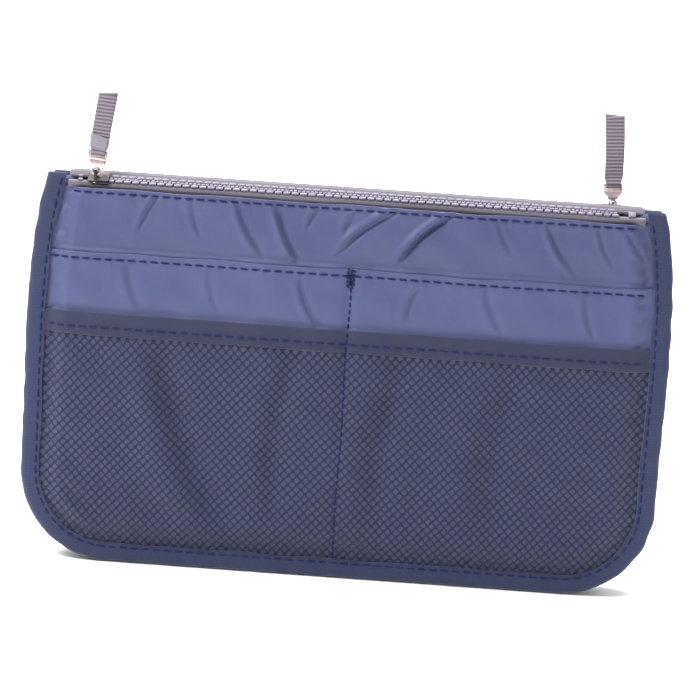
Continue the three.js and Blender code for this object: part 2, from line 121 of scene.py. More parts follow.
class Graph:
    """A material's nodes, with positions in millimetres."""

    def __init__(self, name: str) -> None:
        """Start an empty material with a Principled shader.

        Args:
            name: Name of the material.
        """
        self.material = bpy.data.materials.new(name)
        self.material.use_nodes = True
        self.tree = self.material.node_tree
        self.shader = self.tree.nodes["Principled BSDF"]

    def add(self, kind: str, inputs: dict | None = None, **settings: object) -> bpy.types.Node:
        """Add a node.

        Args:
            kind: Node type without its ShaderNode prefix.
            inputs: Socket names or numbers, each with a value or an output socket.
            settings: Properties of the node.

        Returns:
            The new node.
        """
        node = self.tree.nodes.new("ShaderNode" + kind)
        for key, value in settings.items():
            setattr(node, key, value)
        for key, value in (inputs or {}).items():
            if isinstance(value, bpy.types.NodeSocket):
                self.tree.links.new(value, node.inputs[key])
            else:
                node.inputs[key].default_value = value
        return node

    def math(self, operation: str, *values: object) -> bpy.types.NodeSocket:
        """Result of one sum on numbers or sockets."""
        return self.add("Math", dict(enumerate(values)), operation=operation).outputs[0]

    def place(self, own_map: bool = False) -> bpy.types.NodeSocket:
        """Position in millimetres, on the object or along the piece's own map.

        Args:
            own_map: Whether to read the piece's own map, not the object.

        Returns:
            Socket that carries the position.
        """
        source = self.add("TexCoord").outputs["UV" if own_map else "Object"]
        scale = (1 / MM,) * 3
        return self.add("Mapping", {"Vector": source, "Scale": scale}).outputs[0]

    def noise(self, place: bpy.types.NodeSocket, size: float, detail: float = 2.0) -> bpy.types.NodeSocket:
        """Soft noise whose blotches are about size millimetres across."""
        inputs = {"Vector": place, "Scale": 1 / size, "Detail": detail}
        return self.add("TexNoise", inputs).outputs["Fac"]

    def between(self, share: bpy.types.NodeSocket, low: str, high: str) -> bpy.types.NodeSocket:
        """Colour between two hex colours.

        Args:
            share: Socket that runs from 0 to 1.
            low: Hex colour at 0.
            high: Hex colour at 1.

        Returns:
            Socket that carries the colour.
        """
        ramp = self.add("ValToRGB", {"Fac": share})
        ramp.color_ramp.elements[0].color = linear(low)
        ramp.color_ramp.elements[1].color = linear(high)
        return ramp.outputs["Color"]

    def colour(self, socket: bpy.types.NodeSocket) -> None:
        """Send a colour to the shader."""
        self.tree.links.new(socket, self.shader.inputs["Base Color"])

    def rough(self, socket: bpy.types.NodeSocket, low: float, high: float) -> None:
        """Send a roughness between low and high to the shader."""
        ranged = self.add("MapRange", {"Value": socket, "To Min": low, "To Max": high})
        self.tree.links.new(ranged.outputs[0], self.shader.inputs["Roughness"])

    def relief(self, heights: list[tuple[bpy.types.NodeSocket, float]]) -> None:
        """Raise the surface by each height socket times its depth in millimetres.

        Args:
            heights: Pairs of a height socket and its depth.
        """
        normal = None
        for height, depth in heights:
            inputs = {"Height": height, "Distance": depth * MM, "Strength": 1.0}
            if normal:
                inputs["Normal"] = normal
            normal = self.add("Bump", inputs).outputs["Normal"]
        self.tree.links.new(normal, self.shader.inputs["Normal"])

    def weave(self, place: bpy.types.NodeSocket, pitch: float) -> bpy.types.NodeSocket:
        """Height of a plain weave whose threads lie pitch millimetres apart in X and Z.

        Args:
            place: Socket that carries the position.
            pitch: Distance from thread to thread.

        Returns:
            Socket that carries the height.
        """
        x, _, z = self.split(place)
        turn = 2 * math.pi / pitch
        across = self.math("SINE", self.math("MULTIPLY", x, turn))
        along = self.math("SINE", self.math("MULTIPLY", z, turn))
        return self.math("MULTIPLY", across, along)

    def split(self, place: bpy.types.NodeSocket) -> list[bpy.types.NodeSocket]:
        """The three parts of a position."""
        return list(self.add("SeparateXYZ", {0: place}).outputs)


@dataclass(frozen=True)
class Nylon:
    """Thin satin nylon: a fine weave, a soft sheen, faint blotches and crinkles."""

    name: str
    dark: str
    light: str
    thread: float = 0.42
    sheen: float = 0.35

    def make(self) -> bpy.types.Material:
        """Build the material.

        Returns:
            The material.
        """
        graph = Graph(self.name)
        place = graph.place()
        blotch = graph.noise(place, 34, 4)
        graph.colour(graph.between(blotch, self.dark, self.light))
        crinkle = graph.noise(place, 7, 3)
        graph.rough(crinkle, 0.44, 0.6)
        graph.relief([(crinkle, 0.5), (graph.weave(place, self.thread), 0.02)])
        graph.shader.inputs["Sheen Weight"].default_value = self.sheen
        graph.shader.inputs["Sheen Roughness"].default_value = 0.4
        graph.shader.inputs["Specular IOR Level"].default_value = 0.45
        return graph.material


@dataclass(frozen=True)
class Net:
    """Knotted net lying on nylon: dark cords round lighter rounded diamonds, with painted shade on one slant of
    cords and in broad patches over the diamonds.
    """

    name: str
    cord: str
    ground: str
    across: float = 3.75
    along: float = 4.05

    def make(self) -> bpy.types.Material:
        """Build the material.

        Returns:
            The material.
        """
        graph = Graph(self.name)
        place = graph.place()
        wobble = graph.math("MULTIPLY", graph.noise(place, 30, 2), 1.6)
        x, _, z = graph.split(place)
        across = graph.math("DIVIDE", graph.math("ADD", x, wobble), self.across)
        along = graph.math("DIVIDE", graph.math("ADD", z, wobble), self.along)
        cells = []
        for operation in ("ADD", "SUBTRACT"):
            line = graph.math(operation, across, along)
            wave = graph.math("SINE", graph.math("MULTIPLY", line, math.pi))
            cells.append(graph.math("ABSOLUTE", wave))
        # Painted shade: the cords of one slant are drawn darker than the other, as on a relief lit from above.
        shaded_slant = graph.math("POWER", cells[0], 0.7)
        depth = graph.math("MULTIPLY", cells[1], shaded_slant)
        hole = graph.add("MapRange", {"Value": depth, "From Min": 0.12, "From Max": 0.72}).outputs[0]
        # Painted shade: the nylon seen through the holes is darkened in broad patches, standing for shade where
        # the net stands off it.
        blotch = graph.noise(place, 26, 3)
        standoff_shade = graph.add("MapRange", {"Value": blotch, "To Min": 0.62, "To Max": 1.0})
        lit = graph.math("MULTIPLY", hole, standoff_shade.outputs[0])
        graph.colour(graph.between(lit, self.cord, self.ground))
        graph.rough(hole, 0.8, 0.5)
        cord = graph.math("SUBTRACT", 1.0, hole)
        twist = graph.noise(place, 0.5, 2)
        graph.relief([(graph.noise(place, 9, 3), 0.5), (cord, 0.3), (twist, 0.05)])
        graph.shader.inputs["Sheen Weight"].default_value = 0.15
        graph.shader.inputs["Specular IOR Level"].default_value = 0.35
        return graph.material


class Rib(Enum):
    """Which way a woven tape's ribs run on its own map."""

    ACROSS = 0
    ALONG = 1


@dataclass(frozen=True)
class Tape:
    """Woven tape or ribbon, ribbed at a pitch, on the piece's own map of length and width; the ribs carry
    painted shade in their grooves and painted light on their crowns, mixed with random tone.
    """

    name: str
    dark: str
    light: str
    pitch: float
    depth: float
    rib: Rib = Rib.ACROSS
    groove_shade: float = 0.5

    def make(self) -> bpy.types.Material:
        """Build the material.

        Returns:
            The material.
        """
        graph = Graph(self.name)
        place = graph.place(own_map=True)
        parts = graph.split(place)
        turn = graph.math("MULTIPLY", parts[self.rib.value], 2 * math.pi / self.pitch)
        rib = graph.math("MULTIPLY_ADD", graph.math("SINE", turn), 0.5, 0.5)
        fine = graph.math("SINE", graph.math("MULTIPLY", parts[1 - self.rib.value], 2 * math.pi / 0.5))
        blotch = graph.noise(graph.place(), 14, 3)
        # Painted shade and light: the colour follows the rib height, darker in the grooves and lighter on the
        # crowns, over random tone.
        plain = graph.math("MULTIPLY", blotch, 1 - self.groove_shade)
        shade = graph.math("MULTIPLY_ADD", rib, self.groove_shade, plain)
        graph.colour(graph.between(shade, self.dark, self.light))
        graph.rough(blotch, 0.74, 0.9)
        graph.relief([(rib, self.depth), (fine, 0.03)])
        graph.shader.inputs["Sheen Weight"].default_value = 0.25
        return graph.material


@dataclass(frozen=True)
class Resin:
    """Moulded zip resin: even colour with slight bloom and soft gloss."""

    name: str
    dark: str
    light: str
    low: float = 0.3
    high: float = 0.5
    gloss: float = 0.5

    def make(self) -> bpy.types.Material:
        """Build the material.

        Returns:
            The material.
        """
        graph = Graph(self.name)
        place = graph.place()
        graph.colour(graph.between(graph.noise(place, 5, 3), self.dark, self.light))
        graph.rough(graph.noise(place, 1.5, 2), self.low, self.high)
        graph.relief([(graph.noise(place, 0.8, 2), 0.03)])
        graph.shader.inputs["Specular IOR Level"].default_value = self.gloss
        return graph.material


@dataclass(frozen=True)
class Plate:
    """Plated zinc: bright, with fine scratches and a warmer tint where the plating thins."""

    name: str
    bright: str
    warm: str

    def make(self) -> bpy.types.Material:
        """Build the material.

        Returns:
            The material.
        """
        graph = Graph(self.name)
        place = graph.place()
        graph.colour(graph.between(graph.noise(place, 3, 3), self.warm, self.bright))
        graph.rough(graph.noise(place, 0.6, 4), 0.2, 0.38)
        graph.relief([(graph.noise(place, 0.4, 3), 0.01)])
        graph.shader.inputs["Metallic"].default_value = 1.0
        return graph.material


@dataclass
class Wardrobe:
    """Every finish, made once."""

    shell: bpy.types.Material = field(init=False)
    pocket: bpy.types.Material = field(init=False)
    lining: bpy.types.Material = field(init=False)
    net: bpy.types.Material = field(init=False)
    band: bpy.types.Material = field(init=False)
    binding: bpy.types.Material = field(init=False)
    zip_tape: bpy.types.Material = field(init=False)
    ribbon: bpy.types.Material = field(init=False)
    ribbon_end: bpy.types.Material = field(init=False)
    teeth: bpy.types.Material = field(init=False)
    nickel: bpy.types.Material = field(init=False)
    zinc: bpy.types.Material = field(init=False)
    thread: bpy.types.Material = field(init=False)

    def __post_init__(self) -> None:
        """Build the finishes."""
        self.shell = Nylon("satin nylon shell", "353b61", "40466f").make()
        self.pocket = Nylon("satin nylon pocket", "373c63", "414872").make()
        self.lining = Nylon("nylon lining", "3f4569", "4b5179", sheen=0.2).make()
        self.net = Net("net over nylon", "11152d", "2b3053").make()
        self.band = Tape("net pocket binding", "111532", "1a2042", 0.9, 0.04, Rib.ACROSS, 0.12).make()
        self.binding = Tape("edge binding", "121a3a", "1c274f", 1.3, 0.06, Rib.ACROSS, 0.22).make()
        self.zip_tape = Tape("zip tape twill", "4b4550", "69626f", 1.0, 0.06, Rib.ALONG, 0.4).make()
        self.ribbon = Tape("grosgrain ribbon", "474049", "857a87", 1.5, 0.3, Rib.ACROSS, 0.85).make()
        self.ribbon_end = Tape("ribbon turned end", "6f6974", "857f8a", 0.8, 0.04, Rib.ACROSS, 0.15).make()
        self.teeth = Resin("zip resin", "4f4a5a", "6e6779").make()
        self.nickel = Plate("nickel plate", "dccccc", "bda9a8").make()
        self.zinc = Plate("dull zinc casting", "5e5a5c", "353133").make()
        self.thread = Resin("sewing thread", "151b40", "232a58", 0.85, 0.95, 0.15).make()


# ---------------------------------------------------------------- mesh helpers


def new_piece(name: str, points: np.ndarray, faces: list, turned: bool = False) -> bpy.types.Object:
    """Make a mesh object from points in millimetres.

    Args:
        name: Name of the piece.
        points: One row of x, y and z for each point.
        faces: Corner numbers of each face.
        turned: Whether to turn it half a turn about Z.

    Returns:
        The new object, smooth shaded.
    """
    mesh = bpy.data.meshes.new(name)
    mesh.from_pydata((np.asarray(points) * MM).tolist(), [], faces)
    if turned:
        mesh.transform(HALF_TURN)
    mesh.shade_smooth()
    piece = bpy.data.objects.new(name, mesh)
    bpy.context.scene.collection.objects.link(piece)
    return piece


def pick_only(piece: bpy.types.Object) -> None:
    """Select one piece and nothing else.

    Args:
        piece: The piece to select.
    """
    bpy.ops.object.select_all(action="DESELECT")
    piece.select_set(True)
    bpy.context.view_layer.objects.active = piece


def finish_with(piece: bpy.types.Object, kind: str, **settings: object) -> None:
    """Add a modifier and apply it.

    Args:
        piece: The piece.
        kind: Modifier type.
        settings: Properties of the modifier.
    """
    pick_only(piece)
    modifier = piece.modifiers.new(kind.lower(), kind)
    for key, value in settings.items():
        setattr(modifier, key, value)
    bpy.ops.object.modifier_apply(modifier=modifier.name)


def dress(piece: bpy.types.Object, material: bpy.types.Material, body: str, *nodes: str) -> bpy.types.Object:
    """Give a piece its material, its body and the nodes it stands for.

    Args:
        piece: The piece to dress.
        material: Its finish.
        body: Name of the body it moves with.
        nodes: Nodes it stands for.

    Returns:
        The same piece.
    """
    piece.data.materials.clear()
    piece.data.materials.append(material)
    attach(piece, body)
    if nodes:
        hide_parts(*nodes)
    return piece


def grid_faces(rows: int, columns: int) -> list[tuple[int, int, int, int]]:
    """Faces of a grid of points, row by row.

    Args:
        rows: Number of rows of points.
        columns: Number of points in a row.

    Returns:
        Corner numbers of each face.
    """
    return [
        (r * columns + c, r * columns + c + 1, (r + 1) * columns + c + 1, (r + 1) * columns + c)
        for r in range(rows - 1)
        for c in range(columns - 1)
    ]


def tube(name: str, rows: np.ndarray, turned: bool = False) -> bpy.types.Object:
    """A closed tube through rows of points, with a map of its length and girth.

    Args:
        name: Name of the piece.
        rows: Array of stations by section points by three, in millimetres.
        turned: Whether to turn it half a turn about Z.

    Returns:
        The new object.
    """
    stations, count, _ = rows.shape
    faces = []
    for r in range(stations - 1):
        for c in range(count):
            d = (c + 1) % count
            faces.append((r * count + c, r * count + d, (r + 1) * count + d, (r + 1) * count + c))
    faces.append(tuple(reversed(range(count))))
    faces.append(tuple((stations - 1) * count + c for c in range(count)))
    piece = new_piece(name, rows.reshape(-1, 3), faces, turned)
    centre = rows.mean(axis=1)
    length = np.concatenate([[0], np.cumsum(np.linalg.norm(np.diff(centre, axis=0), axis=1))])
    girth = np.linalg.norm(np.diff(rows[stations // 2], axis=0), axis=1)
    girth = np.concatenate([[0], np.cumsum(girth)])
    layer = piece.data.uv_layers.new(name="length and width")
    for loop in piece.data.loops:
        row, column = divmod(loop.vertex_index, count)
        layer.data[loop.index].uv = (length[row] * MM, girth[column] * MM)
    pick_only(piece)
    bpy.ops.object.mode_set(mode="EDIT")
    bpy.ops.mesh.select_all(action="SELECT")
    bpy.ops.mesh.normals_make_consistent(inside=False)
    bpy.ops.object.mode_set(mode="OBJECT")
    return piece


def thick_line(line: np.ndarray, thickness: float) -> np.ndarray:
    """Closed section of a line of points thickened evenly to both sides.

    Args:
        line: Array of points by two.
        thickness: Full thickness.

    Returns:
        The points of one side and then, backwards, of the other.
    """
    along = np.diff(line, axis=0)
    along /= np.linalg.norm(along, axis=1)[:, None]
    normal = np.stack([-along[:, 1], along[:, 0]], axis=1)
    before = np.vstack([normal[:1], normal])
    after = np.vstack([normal, normal[-1:]])
    reach = thickness / 2 / (1 + (before * after).sum(axis=1))
    shift = (before + after) * reach[:, None]
    return np.vstack([line + shift, (line - shift)[::-1]])


def ripple(x: np.ndarray, z: np.ndarray, size: float, seed: int) -> np.ndarray:
    """Smooth uneven waves between about minus one and one.

    Args:
        x: Places along the width, in millimetres.
        z: Heights, in millimetres.
        size: Usual length of a wave.
        seed: Number that sets the pattern.

    Returns:
        The height of the waves at each place.
    """
    chance = np.random.default_rng(seed)
    total = np.zeros(np.broadcast(x, z).shape)
    for _ in range(7):
        angle, phase, stretch = chance.uniform(0, 2 * math.pi, 2).tolist() + [chance.uniform(0.7, 1.5)]
        pitch = 2 * math.pi / (size * stretch)
        total += np.sin(pitch * (x * math.cos(angle) + z * math.sin(angle)) + phase)
    return total / 3.2


def smooth_step(value: np.ndarray, low: float, high: float) -> np.ndarray:
    """Share from nought to one as value goes from low to high, eased at both ends."""
    share = np.clip((value - low) / (high - low), 0, 1)
    return share * share * (3 - 2 * share)


@dataclass(frozen=True)
class Crease:
    """A sharp or soft fold line pressed into the cloth, from one place to another."""

    start: tuple[float, float]
    end: tuple[float, float]
    depth: float
    width: float

    def mirrored(self, share: float) -> "Crease":
        """This crease on the other side of the middle, at a share of its depth."""
        (ax, az), (bx, bz) = self.start, self.end
        return Crease((-ax, az), (-bx, bz), self.depth * share, self.width)

    def height(self, x: np.ndarray, z: np.ndarray) -> np.ndarray:
        """How far the cloth stands out here because of this crease.

        Args:
            x: Places across the pouch.
            z: Their heights.

        Returns:
            Height of the crease at each place.
        """
        ax, az = self.start
        dx, dz = self.end[0] - ax, self.end[1] - az
        length = math.hypot(dx, dz)
        along = ((x - ax) * dx + (z - az) * dz) / length**2
        across = ((x - ax) * dz - (z - az) * dx) / length
        bow = across - 0.06 * length * np.sin(math.pi * np.clip(along, 0, 1))
        fade = smooth_step(along, -0.12, 0.25) * (1 - smooth_step(along, 0.7, 1.15))
        valley = np.exp(-((bow / self.width) ** 2))
        ridge = np.exp(-(((bow - 1.9 * self.width) / (1.4 * self.width)) ** 2))
        return fade * self.depth * (0.65 * ridge - valley)


@dataclass
class Outline:
    """The shape that every layer is cut to, in millimetres."""

    corner: float = 40.0
    taper: float = 7.0
    taper_start: float = 90.0
    taper_end: float = 170.0
    seam: float = 9.5
    swelled: float = 19.0
    half_width: float = field(init=False)

    def __post_init__(self) -> None:
        """Take the width from the bound edge."""
        self.half_width = box_mm("front_edge_binding")[1].x

    def half_at(self, z: np.ndarray) -> np.ndarray:
        """Half the width at a height above the round corners."""
        rise = np.clip((z - self.taper_start) / (self.taper_end - self.taper_start), 0, None)
        return self.half_width - self.taper * rise**3

    def edge_at(self, z: np.ndarray, inset: float) -> np.ndarray:
        """Half the width at a height, that far inside the outline.

        Args:
            z: Heights up the pouch.
            inset: Distance inside the outline.

        Returns:
            Half the width at each height.
        """
        radius = self.corner - inset
        drop = np.clip(self.corner - z, 0, radius)
        low = self.half_width - self.corner + np.sqrt(np.maximum(radius**2 - drop**2, 0))
        return np.where(z < self.corner, low, self.half_at(z) - inset)

    def inset_at(self, x: np.ndarray, z: np.ndarray) -> np.ndarray:
        """How far a place lies inside the outline.

        Args:
            x: Places across the pouch.
            z: Their heights.

        Returns:
            Distance inside the outline at each place.
        """
        over = np.abs(x) - (self.half_width - self.corner)
        under = self.corner - z
        corner = self.corner - np.hypot(np.maximum(over, 0), np.maximum(under, 0))
        plain = np.minimum(self.half_at(z) - np.abs(x), z)
        return np.where((over > 0) & (under > 0), corner, plain)

    def swell_at(self, inset: np.ndarray) -> np.ndarray:
        """Share of the swell at an inset."""
        return smooth_step(inset, self.seam, self.swelled)

    def path(self, top: float, step: float) -> tuple[np.ndarray, np.ndarray]:
        """Stations down the left side, round the bottom and up the right side.

        Args:
            top: Height where the path starts and ends.
            step: Distance between stations.

        Returns:
            The places as x and z, and at each the direction inwards.
        """
        side = np.linspace(top, self.corner, int((top - self.corner) / step))
        turn = np.linspace(0, math.pi / 2, int(self.corner * math.pi / 2 / step))[1:]
        reach = self.half_width - self.corner
        bottom = np.linspace(-reach, 0, int(reach / step))[1:]
        x = np.concatenate([-self.half_at(side), -reach - self.corner * np.cos(turn), bottom])
        z = np.concatenate([side, self.corner * (1 - np.sin(turn)), np.zeros(len(bottom))])
        place = np.stack([x, z], axis=1)
        ones, turns = np.ones(len(side)), np.zeros(len(bottom))
        inward = np.stack(
            [np.concatenate([ones, np.cos(turn), turns]),
             np.concatenate([0 * ones, np.sin(turn), turns + 1])], axis=1)
        mirror = np.array([-1, 1])
        return np.vstack([place, place[-2::-1] * mirror]), np.vstack([inward, inward[-2::-1] * mirror])


@dataclass
class Relief:
    """How one pouch's cloth stands off its plain swell: folds, puckers and the middle seam."""

    outline: Outline
    seed: int
    net_folds: tuple[Crease, ...] = (
        Crease((-80, 103), (-44, 14), 3.4, 6.0),
        Crease((-20, 106), (-26, 24), 2.0, 5.0),
        Crease((28, 103), (19, 20), 2.6, 6.5),
        Crease((78, 100), (68, 20), 2.6, 8.0),
        Crease((-128, 42), (-94, 15), 1.8, 3.0),
        Crease((-60, 22), (60, 17), 1.2, 4.0),
    )
    shell_folds: tuple[Crease, ...] = (
        Crease((-84, 164), (-92, 148), 1.1, 0.95),
        Crease((-51, 164), (-38, 141), 1.5, 1.09),
        Crease((-34, 164), (-21, 137), 2.3, 1.02),
        Crease((-15, 164), (-20, 154), 1.2, 0.82),
        Crease((19, 164), (-6, 144), 1.7, 1.16),
        Crease((42, 164), (20, 142), 2.5, 1.16),
        Crease((82, 163), (95, 143), 1.4, 1.09),
        Crease((116, 162), (125, 150), 1.0, 1.02),
        Crease((-70, 163), (-65, 147), 0.6, 1.0),
        Crease((1, 163), (-4, 152), 0.8, 1.0),
        Crease((61, 163), (68, 149), 0.7, 1.0),
        Crease((104, 163), (111, 147), 0.7, 1.0),
    )
    slip_folds: tuple[Crease, ...] = (
        Crease((-22, 133), (-11, 110), 1.5, 1.16),
        Crease((58, 134), (67, 114), 0.8, 1.50),
        Crease((-96, 134), (-89, 113), 0.8, 1.63),
        Crease((30, 133), (25, 117), 0.9, 1.1),
        Crease((101, 133), (106, 115), 0.8, 1.2),
        Crease((-61, 133), (-56, 115), 0.7, 1.1),
    )
    seam_top: float = 139.0

    def __post_init__(self) -> None:
        """Give the rear pouch folds of its own: the front's mirrored, some deeper and some shallower."""
        if self.seed == FRONT_SEED:
            return
        chance = np.random.default_rng(self.seed)
        for name in ("net_folds", "shell_folds", "slip_folds"):
            setattr(self, name, tuple(fold.mirrored(chance.uniform(0.5, 1.1)) for fold in getattr(self, name)))

    def shared(self, x: np.ndarray, z: np.ndarray) -> np.ndarray:
        """Height that all three outer layers follow.

        Args:
            x: Places across the pouch.
            z: Their heights.

        Returns:
            Height at each place.
        """
        inset = self.outline.inset_at(x, z)
        free = smooth_step(inset, 10, 26)
        height = 1.0 * free * ripple(x, z, 62, self.seed)
        height += 0.42 * free * ripple(x, z, 17, self.seed + 1)
        pucker = np.exp(-(((inset - 12) / 4.5) ** 2)) * smooth_step(inset, 9.0, 11.0)
        height += 0.45 * pucker * ripple(1.4 * x, 1.4 * z, 8, self.seed + 2)
        seam = np.exp(-((x / 2.4) ** 2)) * (1 - smooth_step(z, self.seam_top - 4, self.seam_top + 3))
        height -= 0.9 * free * seam
        near = np.exp(-((x / 9) ** 2)) * (1 - smooth_step(z, self.seam_top - 4, self.seam_top + 3))
        height += 0.22 * free * near * ripple(0.5 * x, z, 7, self.seed + 3)
        low = 1 - smooth_step(z, 98, 108)
        return height + low * free * sum(fold.height(x, z) for fold in self.net_folds)

    def shell(self, x: np.ndarray, z: np.ndarray) -> np.ndarray:
        """Height of the shell, which shows above the slip pocket.

        Args:
            x: Places across the pouch.
            z: Their heights.

        Returns:
            Height at each place.
        """
        open_band = smooth_step(z, 138, 142) * smooth_step(self.outline.inset_at(x, z), 9.5, 14)
        folds = sum(fold.height(x, z) for fold in self.shell_folds)
        pulls = 0.16 * np.exp(-((164 - z) / 5) ** 2) * ripple(x, 0.3 * z, 6, self.seed + 4)
        pulls -= 2.6 * np.exp(-((z - 138.4) / 1.9) ** 2) + 0.45 * np.exp(-((z - 163.1) / 0.8) ** 2)
        height = self.shared(x, z) + open_band * (folds + pulls)
        floor = -3.4 + 2.4 * smooth_step(z, 156, 162)
        return np.where(height < floor + 0.6, floor + 0.6 * np.exp((height - floor - 0.6) / 0.6), height)

    def slip(self, x: np.ndarray, z: np.ndarray) -> np.ndarray:
        """Height of the slip pocket, which shows above the net pocket.

        Args:
            x: Places across the pouch.
            z: Their heights.

        Returns:
            Height at each place.
        """
        open_band = smooth_step(z, 110, 114) * smooth_step(self.outline.inset_at(x, z), 9.5, 14)
        folds = sum(fold.height(x, z) for fold in self.slip_folds)
        pulls = 0.16 * np.exp(-((136 - z) / 5) ** 2) * ripple(x, 0.3 * z, 6, self.seed + 5)
        pulls -= 0.5 * np.exp(-((z - 134.8) / 0.9) ** 2) + 0.9 * np.exp(-((z - 111.8) / 2.2) ** 2)
        return self.shared(x, z) + open_band * (folds + pulls)


@dataclass
class Layer:
    """One sewn panel: where its outer face lies in the seam, how far it swells, and its relief."""

    node: str
    outline: Outline
    relief: Callable[[np.ndarray, np.ndarray], np.ndarray]
    outwards: bool = True
    shows_from: float = 40.0
    fine: float = 1.2
    columns: int = 250
    corner_rows: int = 26
    thickness: float = 0.5
    inset: float = 0.9
    top: float = field(init=False)
    swell: float = field(init=False)
    rim: float = field(init=False)

    def __post_init__(self) -> None:
        """Read the layer's place from its node."""
        low, high = box_mm(self.node)
        self.top = high.z
        self.swell = high.y - low.y - self.thickness
        self.rim = -high.y + self.thickness if self.outwards else -low.y
        if not self.outwards:
            self.swell = -self.swell

    def out(self, x: np.ndarray, z: np.ndarray) -> np.ndarray:
        """Distance of the outer face from the plane between the pouches."""
        inset = self.outline.inset_at(x, z)
        return self.rim + self.swell * self.outline.swell_at(inset) + self.relief(x, z)

    def heights(self) -> np.ndarray:
        """Heights of the sheet's rows: close together round the corners and where the cloth shows.

        Returns:
            The heights, from the lowest up.
        """
        turn = np.linspace(0, math.pi / 2, self.corner_rows)
        low = self.inset + (self.outline.corner - self.inset) * (1 - np.cos(turn))
        hidden = np.arange(self.outline.corner, self.shows_from, 4.0)[1:]
        start = hidden[-1] if len(hidden) else self.outline.corner
        shown = np.arange(self.top, start, -self.fine)[::-1]
        return np.concatenate([low, hidden, shown])

    def sheet(self, name: str, turned: bool) -> bpy.types.Object:
        """Build the panel as a thin sheet.

        Args:
            name: Name of the piece.
            turned: Whether it belongs to the rear pouch.

        Returns:
            The sheet, solid and smooth.
        """
        rise = self.heights()
        rows, columns = len(rise), self.columns
        across = np.sin(np.linspace(-1, 1, columns) * math.pi / 2)
        across = 0.5 * across + 0.5 * np.linspace(-1, 1, columns)
        z = np.repeat(rise[:, None], columns, axis=1)
        x = across[None, :] * self.outline.edge_at(z, self.inset)
        z = z + 0.35 * smooth_step(z, self.top - 6, self.top) * ripple(x, 0 * z, 38, len(self.node))
        points = np.stack([x, -self.out(x, z), z], axis=-1).reshape(-1, 3)
        piece = new_piece(name, points, grid_faces(rows, columns), turned)
        finish_with(piece, "SOLIDIFY", thickness=self.thickness * MM, offset=-1.0)
        return piece

    def area(self) -> float:
        """Flat area of the cut, in square metres."""
        cut = (1 - math.pi / 4) * self.outline.corner**2 * 2
        return (2 * self.outline.half_width * self.top - cut) * MM**2


@dataclass
class Stitching:
    """A lockstitch row: short thread loops end to end."""

    pitch: float = 4.9
    length: float = 3.7
    radius: float = 0.4
    material: bpy.types.Material | None = None
    loop: tuple[np.ndarray, list] = field(init=False)

    def __post_init__(self) -> None:
        """Model one loop of thread."""
        bpy.ops.object.select_all(action="DESELECT")
        bpy.ops.mesh.primitive_uv_sphere_add(segments=8, ring_count=6, radius=1.0)
        ball = bpy.context.object
        bpy.ops.object.mode_set(mode="EDIT")
        bpy.ops.mesh.select_all(action="SELECT")
        bpy.ops.transform.rotate(value=math.pi / 2, orient_axis="Y", center_override=(0, 0, 0))
        bpy.ops.transform.resize(value=(self.length / 2, self.radius, self.radius))
        bpy.ops.object.mode_set(mode="OBJECT")
        points = np.array([v.co for v in ball.data.vertices])
        ends = np.abs(points[:, 0] * 2 / self.length) ** 0.7
        points[:, 0] = np.sign(points[:, 0]) * ends * self.length / 2
        self.loop = (points, [tuple(p.vertices) for p in ball.data.polygons])
        bpy.data.objects.remove(ball)

    def sew(self, name: str, line: np.ndarray, turned: bool, pitch: float | None = None) -> bpy.types.Object:
        """Sew along a line.

        Args:
            name: Name of the row.
            line: Points of the seam, in millimetres.
            turned: Whether it belongs to the rear pouch.
            pitch: Stitch length, if it isn't the usual one.

        Returns:
            The row of stitches as one piece.
        """
        pitch = pitch or self.pitch
        steps = np.linalg.norm(np.diff(line, axis=0), axis=1)
        along = np.concatenate([[0], np.cumsum(steps)])
        places = np.arange(pitch / 2, along[-1] - pitch / 3, pitch)
        points, faces = [], []
        base, shape = self.loop
        base = base * np.array([pitch / self.pitch, 1, 1])
        for number, place in enumerate(places):
            near = [np.interp(place + d, along, line[:, k]) for d in (-0.4, 0.4) for k in range(3)]
            start, end = np.array(near[:3]), np.array(near[3:])
            forward = (end - start) / np.linalg.norm(end - start)
            side = np.cross(forward, (0, 1, 0))
            side /= np.linalg.norm(side)
            up = np.cross(side, forward)
            tilt = 0.05 * math.sin(12.9 * number)
            axes = np.stack([forward + tilt * side, up, side])
            faces += [tuple(c + len(points) * len(base) for c in face) for face in shape]
            points.append((start + end) / 2 + base @ axes)
        piece = new_piece(name, np.vstack(points), faces, turned)
        return dress(piece, self.material, "rear_pouch" if turned else "front_pouch")


# ---------------------------------------------------------------- one pouch


